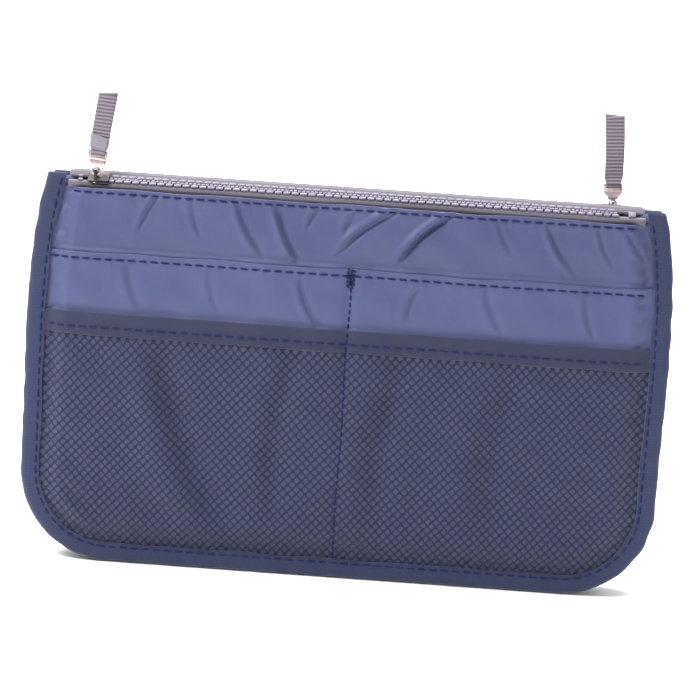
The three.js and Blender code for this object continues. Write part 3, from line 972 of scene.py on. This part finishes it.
@dataclass
class Pouch:
    """One zipped pouch: its layers, bound edge, stitching and pocket band."""

    side: Side
    outline: Outline
    wardrobe: Wardrobe
    stitching: Stitching
    binding_tape: float = 0.6
    binding_cut: float = 22.5
    binding_step: float = 1.6
    binding_stitch_inset: float = 7.2
    band_cut: float = 11.5
    layer_step: float = 0.7
    seam_top: float = 139.0
    seam_pitch: float = 3.1
    tack_pitch: float = 1.5
    relief: Relief = field(init=False)
    shell: Layer = field(init=False)
    slip: Layer = field(init=False)
    net: Layer = field(init=False)
    lining: Layer = field(init=False)

    def __post_init__(self) -> None:
        """Set out the layers."""
        seed = FRONT_SEED if self.side is Side.FRONT else REAR_SEED
        self.relief = Relief(self.outline, seed)
        shared = self.relief.shared
        self.shell = Layer(
            "front_outer_panel", self.outline, self.relief.shell, shows_from=132, fine=0.6, columns=370)
        self.slip = Layer(
            "front_slip_pocket", self.outline, self.relief.slip, shows_from=104, fine=0.7, columns=300)
        self.net = Layer("front_mesh_pocket", self.outline, shared)
        self.lining = Layer(
            "front_inner_panel", self.outline, self.inner_relief, outwards=False, fine=3.0, columns=120)

    def inner_relief(self, x: np.ndarray, z: np.ndarray) -> np.ndarray:
        """Gentle waves of the panel that faces the main compartment."""
        free = smooth_step(self.outline.inset_at(x, z), 10, 26)
        return 0.3 * free * ripple(x, z, 55, self.relief.seed + 9)

    @property
    def body(self) -> str:
        """Body that the pouch's fixed pieces ride."""
        return self.side.node("pouch")

    def build(self) -> None:
        """Build every fixed piece of the pouch."""
        self.panels()
        self.pocket_band()
        self.binding()
        self.seams()
        log.info("%s pouch built", self.side.value)

    def panels(self) -> None:
        """The four sewn layers."""
        finishes = {
            "outer_panel": (self.shell, self.wardrobe.shell),
            "slip_pocket": (self.slip, self.wardrobe.pocket),
            "mesh_pocket": (self.net, self.wardrobe.net),
            "inner_panel": (self.lining, self.wardrobe.lining),
        }
        for name, (layer, material) in finishes.items():
            node = self.side.node(name)
            piece = layer.sheet(f"{node}_cloth", self.side.turned)
            dress(piece, material, self.body, node)
            layer.area()

    def pocket_band(self) -> None:
        """The tape folded over the net pocket's top edge."""
        top = self.net.top
        heights = np.array([top - 9.2, top - 8.9, top - 5, top - 1.2, top - 0.1, top + 0.35, top + 0.3])
        stand = np.array([0.32, 0.5, 0.42, 0.5, 0.42, 0.1, -0.45])
        rows = []
        reach = float(self.outline.edge_at(np.array(top - 5), 1.6))
        for x in np.linspace(-reach, reach, 190):
            wave = 0.25 * float(ripple(np.array(x), np.array(0.0), 30, self.relief.seed + 6))
            z = heights + wave * np.array([1, 1, 0.6, 0, 0, 0, 0])
            out = self.net.out(np.full(len(z), x), np.minimum(z, top)) + stand
            section = thick_line(np.stack([out, z], axis=1), 0.45)
            rows.append(np.stack([np.full(len(section), x), -section[:, 0], section[:, 1]], axis=1))
        node = self.side.node("mesh_pocket_band")
        piece = tube(f"{node}_tape", np.array(rows), self.side.turned)
        dress(piece, self.wardrobe.band, self.body, node)

    def binding_front(self, z: np.ndarray) -> np.ndarray:
        """How far out the binding's front leg lies: it is pressed onto however many layers it holds.

        Args:
            z: Heights up the pouch.

        Returns:
            Distance out at each height.
        """
        low, _ = box_mm("front_edge_binding")
        full = -low.y - self.binding_tape / 2
        slip_edge = smooth_step(z, self.slip.top - 3, self.slip.top + 3)
        net_edge = smooth_step(z, self.net.top - 2, self.net.top + 5)
        return full - self.layer_step * (slip_edge + net_edge)

    def binding(self) -> None:
        """The tape folded round the pouch's edge."""
        high = box_mm("front_edge_binding")[1]
        place, inward = self.outline.path(high.z, self.binding_step)
        back = -high.y + self.binding_tape / 2
        front = self.binding_front(place[:, 1])
        depth = np.array([8.8, 8.5, 6, 3, 1.3, 0.5, 0.3, 0.3, 0.5, 1.3, 3, 6, 8.8])
        share = np.array([0, 0.02, -0.03, -0.02, 0.06, 0.22, 0.42, 0.6, 0.8, 0.95, 1, 1, 1])
        along = np.arange(len(place)) * self.binding_step
        wave = ripple(along, 0 * along, 26, self.relief.seed + 7)
        lift = ripple(along, 0 * along, 11, self.relief.seed + 8)
        rows = []
        for k, (spot, way) in enumerate(zip(place, inward)):
            reach = depth + 0.3 * wave[k] * np.clip((depth - 5) / 4, 0, 1) * (share < 0.5)
            reach = reach + 0.3 * (1 + lift[k]) * np.clip(1 - depth / 6, 0, 1)
            out = front[k] + (back - front[k]) * share + 0.14 * lift[k] * (share < 0.1)
            line = thick_line(np.stack([reach, out], axis=1), self.binding_tape)
            rows.append([(spot[0] + way[0] * d, -o, spot[1] + way[1] * d) for d, o in line])
        node = self.side.node("edge_binding")
        piece = tube(f"{node}_tape", np.array(rows), self.side.turned)
        dress(piece, self.wardrobe.binding, self.body, node)

    def seams(self) -> None:
        """Every row of stitches that shows."""
        place, inward = self.outline.path(box_mm("front_edge_binding")[1].z - 1.5, self.binding_step)
        ways = place + inward * self.binding_stitch_inset
        out = self.binding_front(place[:, 1]) + 0.34
        line = np.column_stack([ways[:, 0], -out, ways[:, 1]])
        self.stitching.sew(f"{self.side.value}_binding_stitches", line, self.side.turned)
        self.row("shell_top_stitches", self.shell, self.shell.top - 1.9, 0.2, 121.5)
        self.row("slip_top_stitches", self.slip, self.slip.top - 2.7, 0.2, 130.5)
        self.row("band_stitches", self.net, self.net.top - 5.6, 0.82, 130.5)
        self.middle_seam()

    def row(self, name: str, layer: Layer, z: float, stand: float, reach: float) -> None:
        """Sew one straight row across a layer.

        Args:
            name: Name of the row.
            layer: Layer that it lies on.
            z: Height of the row.
            stand: How far the thread stands off the layer.
            reach: How far from the middle it runs.
        """
        x = np.linspace(-reach, reach, 420)
        heights = np.full(len(x), z)
        line = np.column_stack([x, -(layer.out(x, heights) + stand), heights])
        self.stitching.sew(f"{self.side.value}_{name}", line, self.side.turned)

    def middle_seam(self) -> None:
        """The seam that parts the slip and net pockets in two, with a bar tack at its top."""
        stitching = self.stitching
        name = self.side.value
        runs = {
            "slip": (self.slip, self.net.top + 0.6, self.slip.top, 0.12),
            "net": (self.net, 9.5, self.net.top - 9.6, 0.12),
            "band": (self.net, self.net.top - 9.4, self.net.top, 0.78),
        }
        for part, (layer, low, high, stand) in runs.items():
            z = np.linspace(low, high, 160)
            x = 0.25 * ripple(z, 0 * z, 40, self.relief.seed)
            line = np.column_stack([x, -(layer.out(x, z) + stand), z])
            stitching.sew(f"{name}_{part}_middle_stitches", line, self.side.turned, self.seam_pitch)
        tack = []
        for step in range(9):
            z = self.seam_top - 1.2 - step * 0.95
            lean = 1.7 if step % 2 else -1.7
            tack += [(lean, z), (-lean, z - 0.5)]
        spots = np.array(tack)
        out = np.maximum(self.slip.out(spots[:, 0], np.minimum(spots[:, 1], self.slip.top)), 0) + 0.25
        line = np.column_stack([spots[:, 0], -out, spots[:, 1]])
        stitching.sew(f"{name}_bar_tack", line, self.side.turned, self.tack_pitch)


# ---------------------------------------------------------------- the zip


@dataclass
class Chain:
    """The sloping plane in which a zip's teeth lie, in millimetres."""

    out: float = 7.2
    z: float = 168.6
    slope: float = math.radians(47)

    def spot(self, across: float, rise: float = 0.0) -> tuple[float, float]:
        """Distance out and height of a place across the chain and above it."""
        out = self.out - across * math.cos(self.slope) + rise * math.sin(self.slope)
        return out, self.z + across * math.sin(self.slope) + rise * math.cos(self.slope)

    def place(self, along: float = 0.0, across: float = 0.0, rise: float = 0.0) -> Matrix:
        """Matrix that lays a part modelled flat onto the chain.

        Args:
            along: Distance along the zip.
            across: Distance across the chain, inwards.
            rise: Distance above the chain.

        Returns:
            The matrix.
        """
        out, z = self.spot(across, rise)
        tilt = Matrix.Rotation(self.slope, 4, "X")
        return Matrix.Translation((along, -out, z)) @ tilt


class Bench:
    """Small hard parts modelled by hand, in millimetres, near the origin."""

    def __init__(self) -> None:
        """Start with nothing on the bench."""
        self.parts: list[bpy.types.Object] = []

    def block(self, size: tuple, centre: tuple, round_off: float = 0.0, steps: int = 2) -> bpy.types.Object:
        """Add a block with rounded edges.

        Args:
            size: Its three sides.
            centre: Its middle.
            round_off: Radius of its edges.
            steps: Faces across each rounded edge.

        Returns:
            The block.
        """
        bpy.ops.object.select_all(action="DESELECT")
        bpy.ops.mesh.primitive_cube_add(size=1.0, location=centre)
        part = bpy.context.object
        bpy.ops.object.mode_set(mode="EDIT")
        bpy.ops.mesh.select_all(action="SELECT")
        bpy.ops.transform.resize(value=size, center_override=centre)
        if round_off:
            bpy.ops.mesh.bevel(offset=round_off, segments=steps, affect="EDGES", profile=0.6)
        bpy.ops.object.mode_set(mode="OBJECT")
        self.parts.append(part)
        return part

    def pinch(
        self, part: bpy.types.Object, where: Callable[[Vector], bool], factor: tuple, about: tuple
    ) -> None:
        """Scale the points that a test picks about a place.

        Args:
            part: The part to shape.
            where: Test that picks points.
            factor: Scale on each axis.
            about: Place that stays still.
        """
        pick_only(part)
        bpy.ops.object.mode_set(mode="EDIT")
        bpy.ops.mesh.select_all(action="DESELECT")
        bpy.ops.object.mode_set(mode="OBJECT")
        for point in part.data.vertices:
            point.select = where(part.matrix_world @ point.co)
        bpy.ops.object.mode_set(mode="EDIT")
        bpy.ops.mesh.select_mode(type="VERT")
        bpy.ops.transform.resize(value=factor, center_override=about)
        bpy.ops.object.mode_set(mode="OBJECT")

    def window(self, part: bpy.types.Object, along: int, border: float) -> None:
        """Cut a hole through a plate: inset its two broad faces, delete them and bridge the rims.

        Args:
            part: The plate to cut.
            along: Number of the axis that the hole runs along.
            border: Width left round the hole.
        """
        pick_only(part)
        bpy.ops.object.mode_set(mode="EDIT")
        bpy.ops.mesh.select_all(action="DESELECT")
        bpy.ops.object.mode_set(mode="OBJECT")
        for face in part.data.polygons:
            face.select = abs(face.normal[along]) > 0.99
        bpy.ops.object.mode_set(mode="EDIT")
        bpy.ops.mesh.select_mode(type="FACE")
        bpy.ops.mesh.inset(thickness=border, use_individual=True)
        bpy.ops.mesh.delete(type="FACE")
        bpy.ops.mesh.select_mode(type="EDGE")
        bpy.ops.mesh.select_non_manifold(extend=False)
        bpy.ops.mesh.bridge_edge_loops()
        bpy.ops.mesh.select_all(action="SELECT")
        bpy.ops.mesh.normals_make_consistent(inside=False)
        bpy.ops.object.mode_set(mode="OBJECT")

    def bar(self, radius: float, length: float, centre: tuple, turn: tuple = (0, 0, 0)) -> bpy.types.Object:
        """Add a round bar with softened ends.

        Args:
            radius: Radius of the bar.
            length: Its length.
            centre: Its middle.
            turn: Its turn about each axis.

        Returns:
            The bar.
        """
        bpy.ops.object.select_all(action="DESELECT")
        bpy.ops.mesh.primitive_cylinder_add(
            vertices=20, radius=radius, depth=length, location=centre, rotation=turn)
        part = bpy.context.object
        bpy.ops.object.mode_set(mode="EDIT")
        bpy.ops.mesh.select_all(action="SELECT")
        bpy.ops.mesh.bevel(offset=0.15 * radius, segments=2, affect="EDGES")
        bpy.ops.object.mode_set(mode="OBJECT")
        self.parts.append(part)
        return part

    def ring(self, radius: float, wire: float, centre: tuple, turn: tuple) -> bpy.types.Object:
        """Add a ring of round wire.

        Args:
            radius: Radius of the ring.
            wire: Radius of its wire.
            centre: Its middle.
            turn: Its turn about each axis.

        Returns:
            The ring.
        """
        bpy.ops.object.select_all(action="DESELECT")
        bpy.ops.mesh.primitive_torus_add(
            location=centre, rotation=turn, major_radius=radius, minor_radius=wire,
            major_segments=32, minor_segments=12)
        part = bpy.context.object
        self.parts.append(part)
        return part

    def take(self, name: str, place: Matrix, turned: bool = False) -> bpy.types.Object:
        """Join what is on the bench into one piece and lay it in its place.

        Args:
            name: Name of the piece.
            place: Where it goes, in millimetres.
            turned: Whether to turn it half a turn about Z.

        Returns:
            The piece, at the origin and unscaled.
        """
        pick_only(self.parts[0])
        for part in self.parts:
            part.select_set(True)
        bpy.ops.object.transform_apply(location=True, rotation=True, scale=True)
        if len(self.parts) > 1:
            bpy.ops.object.join()
        piece = bpy.context.object
        self.parts = []
        piece.name = piece.data.name = name
        piece.data.transform(Matrix.Scale(MM, 4) @ place)
        if turned:
            piece.data.transform(HALF_TURN)
        bpy.ops.object.shade_smooth_by_angle(angle=math.radians(40))
        return piece


@dataclass
class Zip:
    """A moulded zip: two tapes, two rows of teeth, three stops, and the slider with its pull."""

    side: Side
    wardrobe: Wardrobe
    chain: Chain
    pitch: float = 3.6
    first: float = -105.4
    count: int = 61
    slider_x: float = -110.5
    crown: tuple[float, float, float] = (-1.0, -2.6, 3.6)
    lean: float = math.radians(4)
    tab_bar: float = 8.2
    travel: float = 221.0
    slider_half: float = 4.5
    tape_half: float = 123.5
    tape_rows: int = 170
    tape_thickness: float = 0.42
    stop_first: float = -118.4
    stop_last: float = 117.8
    front_shorter: float = 2.3
    rear_longer: float = 2.4

    @property
    def parting(self) -> float:
        """Where the slider's back edge stands when the zip is open, in millimetres along it."""
        return self.slider_x + self.travel - self.slider_half

    def draw_back(self, piece: bpy.types.Object, up: float, anchor: tuple[float, float]) -> None:
        """Give a piece its own copy of its mesh; the way and the line it would draw back along as the slider
        opens the zip are worked out but not applied.

        Args:
            piece: The piece, already on its body.
            up: Angle above level of the way it would move, in radians.
            anchor: Distance out and height of the line it would move towards, in millimetres.
        """
        way = Vector((0, math.cos(up), math.sin(up)))
        place = Vector((0, -anchor[0], anchor[1])) * MM
        if self.side.turned:
            way, place = HALF_TURN @ way, HALF_TURN @ place
        self.side.node("zip")
        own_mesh(piece)

    def draw_row_back(self, piece: bpy.types.Object, side: int) -> None:
        """Give a row of teeth, or its stop, its own copy of its mesh; how it would draw back with the edge of
        its tape is worked out but not applied.

        Args:
            piece: The row or the stop.
            side: -1 for the outer side, which would slide down, or 1 for the inner side, which would lift.
        """
        if side < 0:
            self.draw_back(piece, self.chain.slope, self.chain.spot(-40))
        else:
            self.draw_back(piece, math.radians(70), (self.chain.out - 13.7, self.chain.z + 37.6))

    def build(self) -> None:
        """Build every piece of the zip."""
        self.draw_back(self.tape("zip_tape_outer", self.outer_line), self.chain.slope, (9.3, 165.7))
        self.draw_back(self.tape("zip_tape_inner", self.inner_line), math.pi / 2, (4.0, 171.75))
        self.teeth("zip_teeth_outer", -1)
        self.teeth("zip_teeth_inner", 1)
        self.stops()
        self.slider()
        self.tab()
        self.ribbon()
        log.info("%s zip built", self.side.value)

    def outer_line(self, x: float) -> np.ndarray:
        """Section of the outer tape, from its leg behind the shell to its edge under the teeth.

        Args:
            x: Place along the zip.

        Returns:
            Distance out and height of each point.
        """
        end = float(smooth_step(np.array(abs(x)), 112.5, 115.5))
        leg = 8.0 - 0.6 * end
        low = 157.4 + 7.4 * end
        wave = 0.16 * float(ripple(np.array(x), np.array(0.0), 24, 5))
        middle = self.chain.spot(-2.5, 0.12)
        points = [(leg, low), (leg + 0.1, 0.5 * low + 82.2), (leg + 0.9, 165.1), (leg + 1.3, 165.7)]
        points += [(middle[0], middle[1] + wave), self.chain.spot(-1.7), self.chain.spot(-0.9, -0.25)]
        return np.array(points)

    def inner_line(self, x: float) -> np.ndarray:
        """Section of the inner tape, from its edge under the teeth over the ridge and down.

        Args:
            x: Place along the zip.

        Returns:
            Distance out and height of each point.
        """
        end = float(smooth_step(np.array(abs(x)), 112.5, 115.5))
        low = 159.4 + 10.5 * end
        points = [self.chain.spot(0.9, -0.25), self.chain.spot(1.9), self.chain.spot(3.4, 0.1)]
        points += [(4.45, 171.7), (3.75, 171.75), (3.66, 170.9), (3.65, 0.5 * (low + 170.8)), (3.65, low)]
        return np.array(points)

    def tape(self, name: str, line: Callable[[float], np.ndarray]) -> bpy.types.Object:
        """Sweep a tape along the zip.

        Args:
            name: The tape's node without its side.
            line: Its section at a place along the zip.

        Returns:
            The tape, on its pouch.
        """
        rows = []
        for x in np.linspace(-self.tape_half, self.tape_half, self.tape_rows):
            section = thick_line(line(x), self.tape_thickness)
            rows.append(np.column_stack([np.full(len(section), x), -section[:, 0], section[:, 1]]))
        node = self.side.node(name)
        piece = tube(f"{node}_cloth", np.array(rows), self.side.turned)
        dress(piece, self.wardrobe.zip_tape, self.side.node("pouch"), node)
        girth = np.linalg.norm(np.diff(line(0.0), axis=0), axis=1).sum()
        return piece

    def teeth(self, name: str, side: int) -> None:
        """Model one tooth and copy it along the row.

        Args:
            name: The row's node without its side.
            side: -1 for the outer row or 1 for the inner row.
        """
        bench = Bench()
        foot = bench.block((3.0, 1.5, 2.0), (0, side * 1.15, 0), 0.42, 2)
        bench.pinch(foot, lambda p: p.y * side < 0.75, (0.55, 1, 0.85), (0, side * 0.5, 0))
        head = bench.block((1.7, 1.3, 1.75), (0, side * -0.15, 0), 0.4, 2)
        bench.pinch(head, lambda p: p.y * side < -0.5, (0.75, 1, 0.85), (0, side * -0.5, 0))
        tooth = bench.take("tooth", Matrix.Identity(4))
        start = self.first + (self.pitch / 2 if side > 0 else 0)
        count = self.count - (1 if side > 0 else 0)
        base = np.array([v.co / MM for v in tooth.data.vertices])
        shape = [tuple(p.vertices) for p in tooth.data.polygons]
        bpy.data.objects.remove(tooth)
        node = self.side.node(name)
        spots = [start + number * self.pitch for number in range(count)]
        open_part = [spot for spot in spots if spot < self.parting]
        for part, chosen in (("row", open_part), ("row_end", spots[len(open_part):])):
            points, faces = [], []
            for number, spot in enumerate(chosen):
                place = np.array(self.chain.place(spot, 0, 0.2))
                faces += [tuple(c + number * len(base) for c in face) for face in shape]
                points.append(base @ place[:3, :3].T + place[:3, 3])
            piece = new_piece(f"{node}_{part}", np.vstack(points), faces, self.side.turned)
            pick_only(piece)
            bpy.ops.object.shade_smooth_by_angle(angle=math.radians(50))
            dress(piece, self.wardrobe.teeth, self.side.node("pouch"), node)
            if part == "row":
                self.draw_row_back(piece, side)

    def stops(self) -> None:
        """The two top stops by the slider and the one bottom stop at the far end."""
        for name, side in (("zip_top_stop_outer", -1), ("zip_top_stop_inner", 1)):
            bench = Bench()
            bench.block((2.0, 1.2, 1.8), (0, side * 1.0, 0), 0.35, 3)
            place = self.chain.place(self.stop_first)
            node = self.side.node(name)
            piece = bench.take(f"{node}_clip", place, self.side.turned)
            dress(piece, self.wardrobe.teeth, self.side.node("pouch"), node)
            self.draw_row_back(piece, side)
        bench = Bench()
        stop = bench.block((3.2, 3.2, 1.8), (0, 0, 0), 0.4, 3)
        bench.pinch(stop, lambda p: p.x > 0.6, (1, 0.72, 1), (1.6, 0, 0))
        node = self.side.node("zip_bottom_stop")
        piece = bench.take(f"{node}_clip", self.chain.place(self.stop_last), self.side.turned)
        dress(piece, self.wardrobe.teeth, self.side.node("pouch"), node)

    def slider(self) -> None:
        """The slider's two plates, the post between them, its side flanges and the crown over it."""
        bench = Bench()
        for half, low, high in ((3.4, 1.2, 2.2), (2.6, -1.7, -1.1)):
            plate = bench.block((9.0, 2 * half, high - low), (0, 0, (low + high) / 2), 0.28, 3)
            bench.pinch(plate, lambda p: p.x > 3.6, (1, 0.72, 1), (4.5, 0, 0))
            bench.pinch(plate, lambda p: p.x < -4.2, (1, 0.86, 1), (-4.5, 0, 0))
        bench.block((2.6, 1.5, 2.6), (-2.9, 0, 0), 0.25, 2)
        for side in (-1, 1):
            bench.block((6.4, 0.5, 1.1), (1.0, side * 3.13, 0.95), 0.16, 2)
        node = self.side.node("slider_body")
        seat = self.chain.place(self.slider_x)
        plates = bench.take("plates", seat)
        crown = Bench()
        hinge = Vector(self.crown)
        crown.bar(0.62, 4.2, (hinge.x, -2.6, 3.62), (math.pi / 2, 0, 0))
        crown.block((1.2, 0.95, 5.2), (hinge.x, -4.25, 1.5), 0.28, 3)
        crown.block((1.2, 0.95, 4.4), (hinge.x, -0.95, 2.2), 0.28, 3)
        out, z = self.chain.spot(0)
        bow = crown.take(f"{node}_cast", Matrix.Translation((self.slider_x, -out, z)))
        plates.select_set(True)
        bow.select_set(True)
        bpy.context.view_layer.objects.active = bow
        bpy.ops.object.join()
        if self.side.turned:
            bow.data.transform(HALF_TURN)
        dress(bow, self.wardrobe.zinc, self.side.node("slider"), node)

    def pull_place(self, up: float = 0.0) -> Matrix:
        """Where the pull hangs, that far above its hinge.

        Args:
            up: Distance above the hinge.

        Returns:
            The matrix.
        """
        out, z = self.chain.spot(0)
        x, y, rise = self.crown
        seat = Matrix.Translation((self.slider_x + x, y - out, z + rise))
        return seat @ Matrix.Rotation(self.lean, 4, "Y") @ Matrix.Translation((0, 0, up))

    def tab(self) -> None:
        """The pull tab: a small ring on the crown, a waisted neck and a slotted frame."""
        bench = Bench()
        bench.ring(1.5, 0.48, (0, 0, 0), (math.pi / 2, 0, 0))
        neck = bench.block((4.6, 1.1, 3.4), (0, 0, 3.4), 0.2, 2)
        bench.pinch(neck, lambda p: p.z < 2.6, (0.8, 1, 1), (0, 0, 2))
        bench.pinch(neck, lambda p: p.z > 4.4, (1.62, 1, 1), (0, 0, 5))
        plate = bench.block((8.2, 1.2, 4.1), (0, 0, 6.75), 0.0)
        bench.window(plate, 1, 1.05)
        finish_with(plate, "BEVEL", width=0.3, segments=3, limit_method="ANGLE")
        node = self.side.node("pull_tab")
        piece = bench.take(f"{node}_cast", self.pull_place(), self.side.turned)
        dress(piece, self.wardrobe.nickel, self.side.node("tab"), node)

    def ribbon(self) -> None:
        """The pull ribbon: one length folded round the tab's bar, its two cut ends upwards."""
        turn = np.linspace(math.pi, 2 * math.pi, 13)
        bar = 1.35
        extra = self.rear_longer if self.side.turned else -self.front_shorter
        up_back = np.linspace(27.0 + extra, 0.3, 60)
        up_front = np.linspace(0.3, 27.7 + extra, 60)
        press = lambda z: 0.33 + (bar - 0.33) * (1 - smooth_step(z, 0.4, 3.4))
        back = np.column_stack([press(up_back), up_back])
        loop = np.column_stack([-bar * np.cos(turn), bar * np.sin(turn)])
        front = np.column_stack([-press(up_front), up_front])
        line = np.vstack([back, loop[1:-1], front])
        rows = []
        across = np.linspace(-1, 1, 9)
        ends = len(line) - 1
        for k, (y, z) in enumerate(line):
            behind = smooth_step(np.array(float(len(back) - k)), 0, 30)
            half = 3.0 + 0.92 * float(smooth_step(np.array(z), 0.2, 3.0))
            bend = 0.3 * math.sin(z / 9.0) * max(0.0, z / 28)
            fold = -0.22 * np.exp(-((across * half - 0.35 * (z - 14) / 3) / 0.9) ** 2) * float(behind < 0.1)
            rise = max(0.0, z / 28)
            sway = -0.4 * math.sin(math.pi * min(rise, 1.0)) if self.side.turned else 2.0 * rise**1.4
            x = across * half - 0.45 * behind * rise + sway
            end_lift = 0.5 * across * float(k > ends - 3) - 0.3 * across * float(k < 3)
            for_z = np.full(9, z) + end_lift
            rows.append(np.column_stack([x, y + bend + fold, for_z]))
        sheet = np.array(rows)
        way = np.gradient(line, axis=0)
        way /= np.linalg.norm(way, axis=1)[:, None]
        side = np.stack([0 * way[:, 0], way[:, 1], -way[:, 0]], axis=1) * 0.3
        top, under = sheet + side[:, None, :], sheet - side[:, None, :]
        place = np.array(self.pull_place(self.tab_bar))
        strip = np.concatenate([top, under[:, ::-1, :]], axis=1)
        strip = strip @ place[:3, :3].T + place[:3, 3]
        node = self.side.node("pull_ribbon")
        piece = tube(f"{node}_web", strip, self.side.turned)
        dress(piece, self.wardrobe.ribbon, self.side.node("ribbon"), node)
        if not self.side.turned:
            self.turned_end(place)

    def turned_end(self, place: np.ndarray) -> None:
        """The smooth end of the front ribbon, turned in over its foot and cut on a slant.

        Args:
            place: Matrix of the ribbon's foot.
        """
        rows = []
        across = np.linspace(-1, 1, 7)
        for share in np.linspace(0, 1, 9):
            low, high = 1.2 - 0.8 * across, 6.8 - 0.9 * across
            z = low + share * (high - low)
            x = across * (3.3 + 0.6 * smooth_step(z, 0.2, 3.0))
            y = -(1.35 - 0.5 * smooth_step(z, 0.4, 3.4)) - 0.45 - 0.12 * math.sin(math.pi * share)
            face = np.column_stack([x, y, z])
            rows.append(np.concatenate([face, face[::-1] + (0, 0.28, 0)]))
        strip = np.array(rows) @ place[:3, :3].T + place[:3, 3]
        piece = tube("front_ribbon_turned_end", strip)
        dress(piece, self.wardrobe.ribbon_end, "front_ribbon")


@dataclass
class Gusset:
    """The folded strip that joins the two pouches down their sides and along the bottom."""

    outline: Outline
    wardrobe: Wardrobe
    fold: float = 34.0

    def build(self) -> None:
        """Build the strip, spread between the two pouches."""
        low, high = box_mm("gusset")
        place, inward = self.outline.path(high.z, 2.0)
        rim = high.y - 0.25
        half = np.array([[1.3, rim], [5, rim], [9.5, rim - 0.1], [12.7, 0.62 * rim], [15.8, 0.42 * rim],
                         [19, 0.28 * rim], [26, 1.0], [self.fold - 0.8, 0.55], [self.fold, 0.2]])
        line = np.vstack([half, (half * np.array([1, -1]))[::-1]])
        along = np.arange(len(place)) * 2.0
        sag = ripple(along, 0 * along, 34, 71)
        section = np.array([(spot[0] + way[0] * d, o, spot[1] + way[1] * d)
                            for k, (spot, way) in enumerate(zip(place, inward))
                            for d, o in line * np.array([1 + 0.01 * sag[k], 1])])
        piece = new_piece("gusset_cloth", section, grid_faces(len(place), len(line)))
        finish_with(piece, "SOLIDIFY", thickness=0.45 * MM, offset=0.0)
        piece.data.materials.append(self.wardrobe.shell)
        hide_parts("gusset")
        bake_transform(piece)
        log.info("gusset built between y %.1f and %.1f mm", low.y, high.y)


# ---------------------------------------------------------------- studio


@dataclass(frozen=True)
class Studio:
    """White table and backdrop, soft light from above and the left, and the camera."""

    aim: tuple[float, float, float] = (-0.0008, -0.012, 0.1052)
    elevation: float = 9.0
    azimuth: float = 1.0
    roll: float = 3.85
    distance: float = 0.7008
    lens: float = 85.0

    def build(self) -> None:
        """Set up the floor, the light and the camera."""
        self.floor()
        self.backdrop()
        self.lamp("key", (-0.6, -0.4, 0.95), 0.35, 15.0)
        self.lamp("fill", (0.7, -0.8, 0.6), 0.9, 1.0)
        self.lamp("top", (0.0, 0.1, 1.1), 0.8, 8.0)
        world = bpy.data.worlds.new("white studio")
        world.use_nodes = True
        world.node_tree.nodes["Background"].inputs["Color"].default_value = (1, 1, 1, 1)
        world.node_tree.nodes["Background"].inputs["Strength"].default_value = 0.6
        bpy.context.scene.world = world
        bpy.context.scene.view_settings.view_transform = "Standard"
        self.camera()

    def floor(self) -> None:
        """A pale plain floor that the insert stands on."""
        bpy.ops.object.select_all(action="DESELECT")
        bpy.ops.mesh.primitive_plane_add(size=12.0)
        floor = bpy.context.object
        floor.name = "studio_floor"
        floor.data.materials.append(self.white("white studio floor"))

    def backdrop(self) -> None:
        """A white wall behind the table, with a lamp of its own."""
        bpy.ops.object.select_all(action="DESELECT")
        bpy.ops.mesh.primitive_plane_add(size=1.0, location=(0, 1.5, 0.9), rotation=(math.pi / 2, 0, 0))
        wall = bpy.context.object
        wall.name = "studio_wall"
        wall.scale = (6.0, 2.0, 1.0)
        wall.data.materials.append(self.white("white studio wall"))
        self.lamp("wall lamp", (0.0, 0.45, 1.3), 1.0, 45.0, (0.0, 1.4, 0.1))

    def white(self, name: str) -> bpy.types.Material:
        """Plain matt white paint, faintly mottled.

        Args:
            name: Name of the paint.

        Returns:
            The paint.
        """
        graph = Graph(name)
        place = graph.place()
        graph.colour(graph.between(graph.noise(place, 400), "f4f4f4", "f8f8f8"))
        graph.shader.inputs["Roughness"].default_value = 0.9
        return graph.material

    def lamp(self, name: str, place: tuple, size: float, power: float, aim: tuple | None = None) -> None:
        """Add a soft square lamp that faces the insert, or another place.

        Args:
            name: Name of the lamp.
            place: Where it stands, in metres.
            size: Its side, in metres.
            power: Its power in watts.
            aim: Place it faces, if not the insert.
        """
        light = bpy.data.lights.new(name, "AREA")
        light.size = size
        light.energy = power
        lamp = bpy.data.objects.new(name, light)
        bpy.context.scene.collection.objects.link(lamp)
        lamp.location = place
        lamp.rotation_euler = (Vector(aim or self.aim) - Vector(place)).to_track_quat("-Z", "Y").to_euler()

    def camera(self) -> None:
        """Place the camera and give it to the scene."""
        data = bpy.data.cameras.new("camera")
        data.lens = self.lens
        data.sensor_width = 36.0
        camera = bpy.data.objects.new("camera", data)
        bpy.context.scene.collection.objects.link(camera)
        rise, round_z = math.radians(self.elevation), math.radians(self.azimuth)
        away = Vector((math.sin(round_z) * math.cos(rise), -math.cos(round_z) * math.cos(rise), math.sin(rise)))
        camera.location = Vector(self.aim) + away * self.distance
        look = (-away).to_track_quat("-Z", "Y").to_matrix().to_4x4()
        tilt = Matrix.Rotation(math.radians(self.roll), 4, "Z")
        camera.rotation_euler = (look @ tilt).to_euler()
        bpy.context.scene.camera = camera


def main() -> None:
    """Build the insert and its studio."""
    outline = Outline()
    wardrobe = Wardrobe()
    stitching = Stitching(material=wardrobe.thread)
    for side in Side:
        Pouch(side, outline, wardrobe, stitching).build()
        Zip(side, wardrobe, Chain()).build()
    Gusset(outline, wardrobe).build()
    Studio().build()
    log.info("two pouches, two zips, the gusset and the studio built")


if __name__ == "__main__":
    logging.basicConfig(level=logging.INFO, format="%(name)s: %(message)s")
    main()
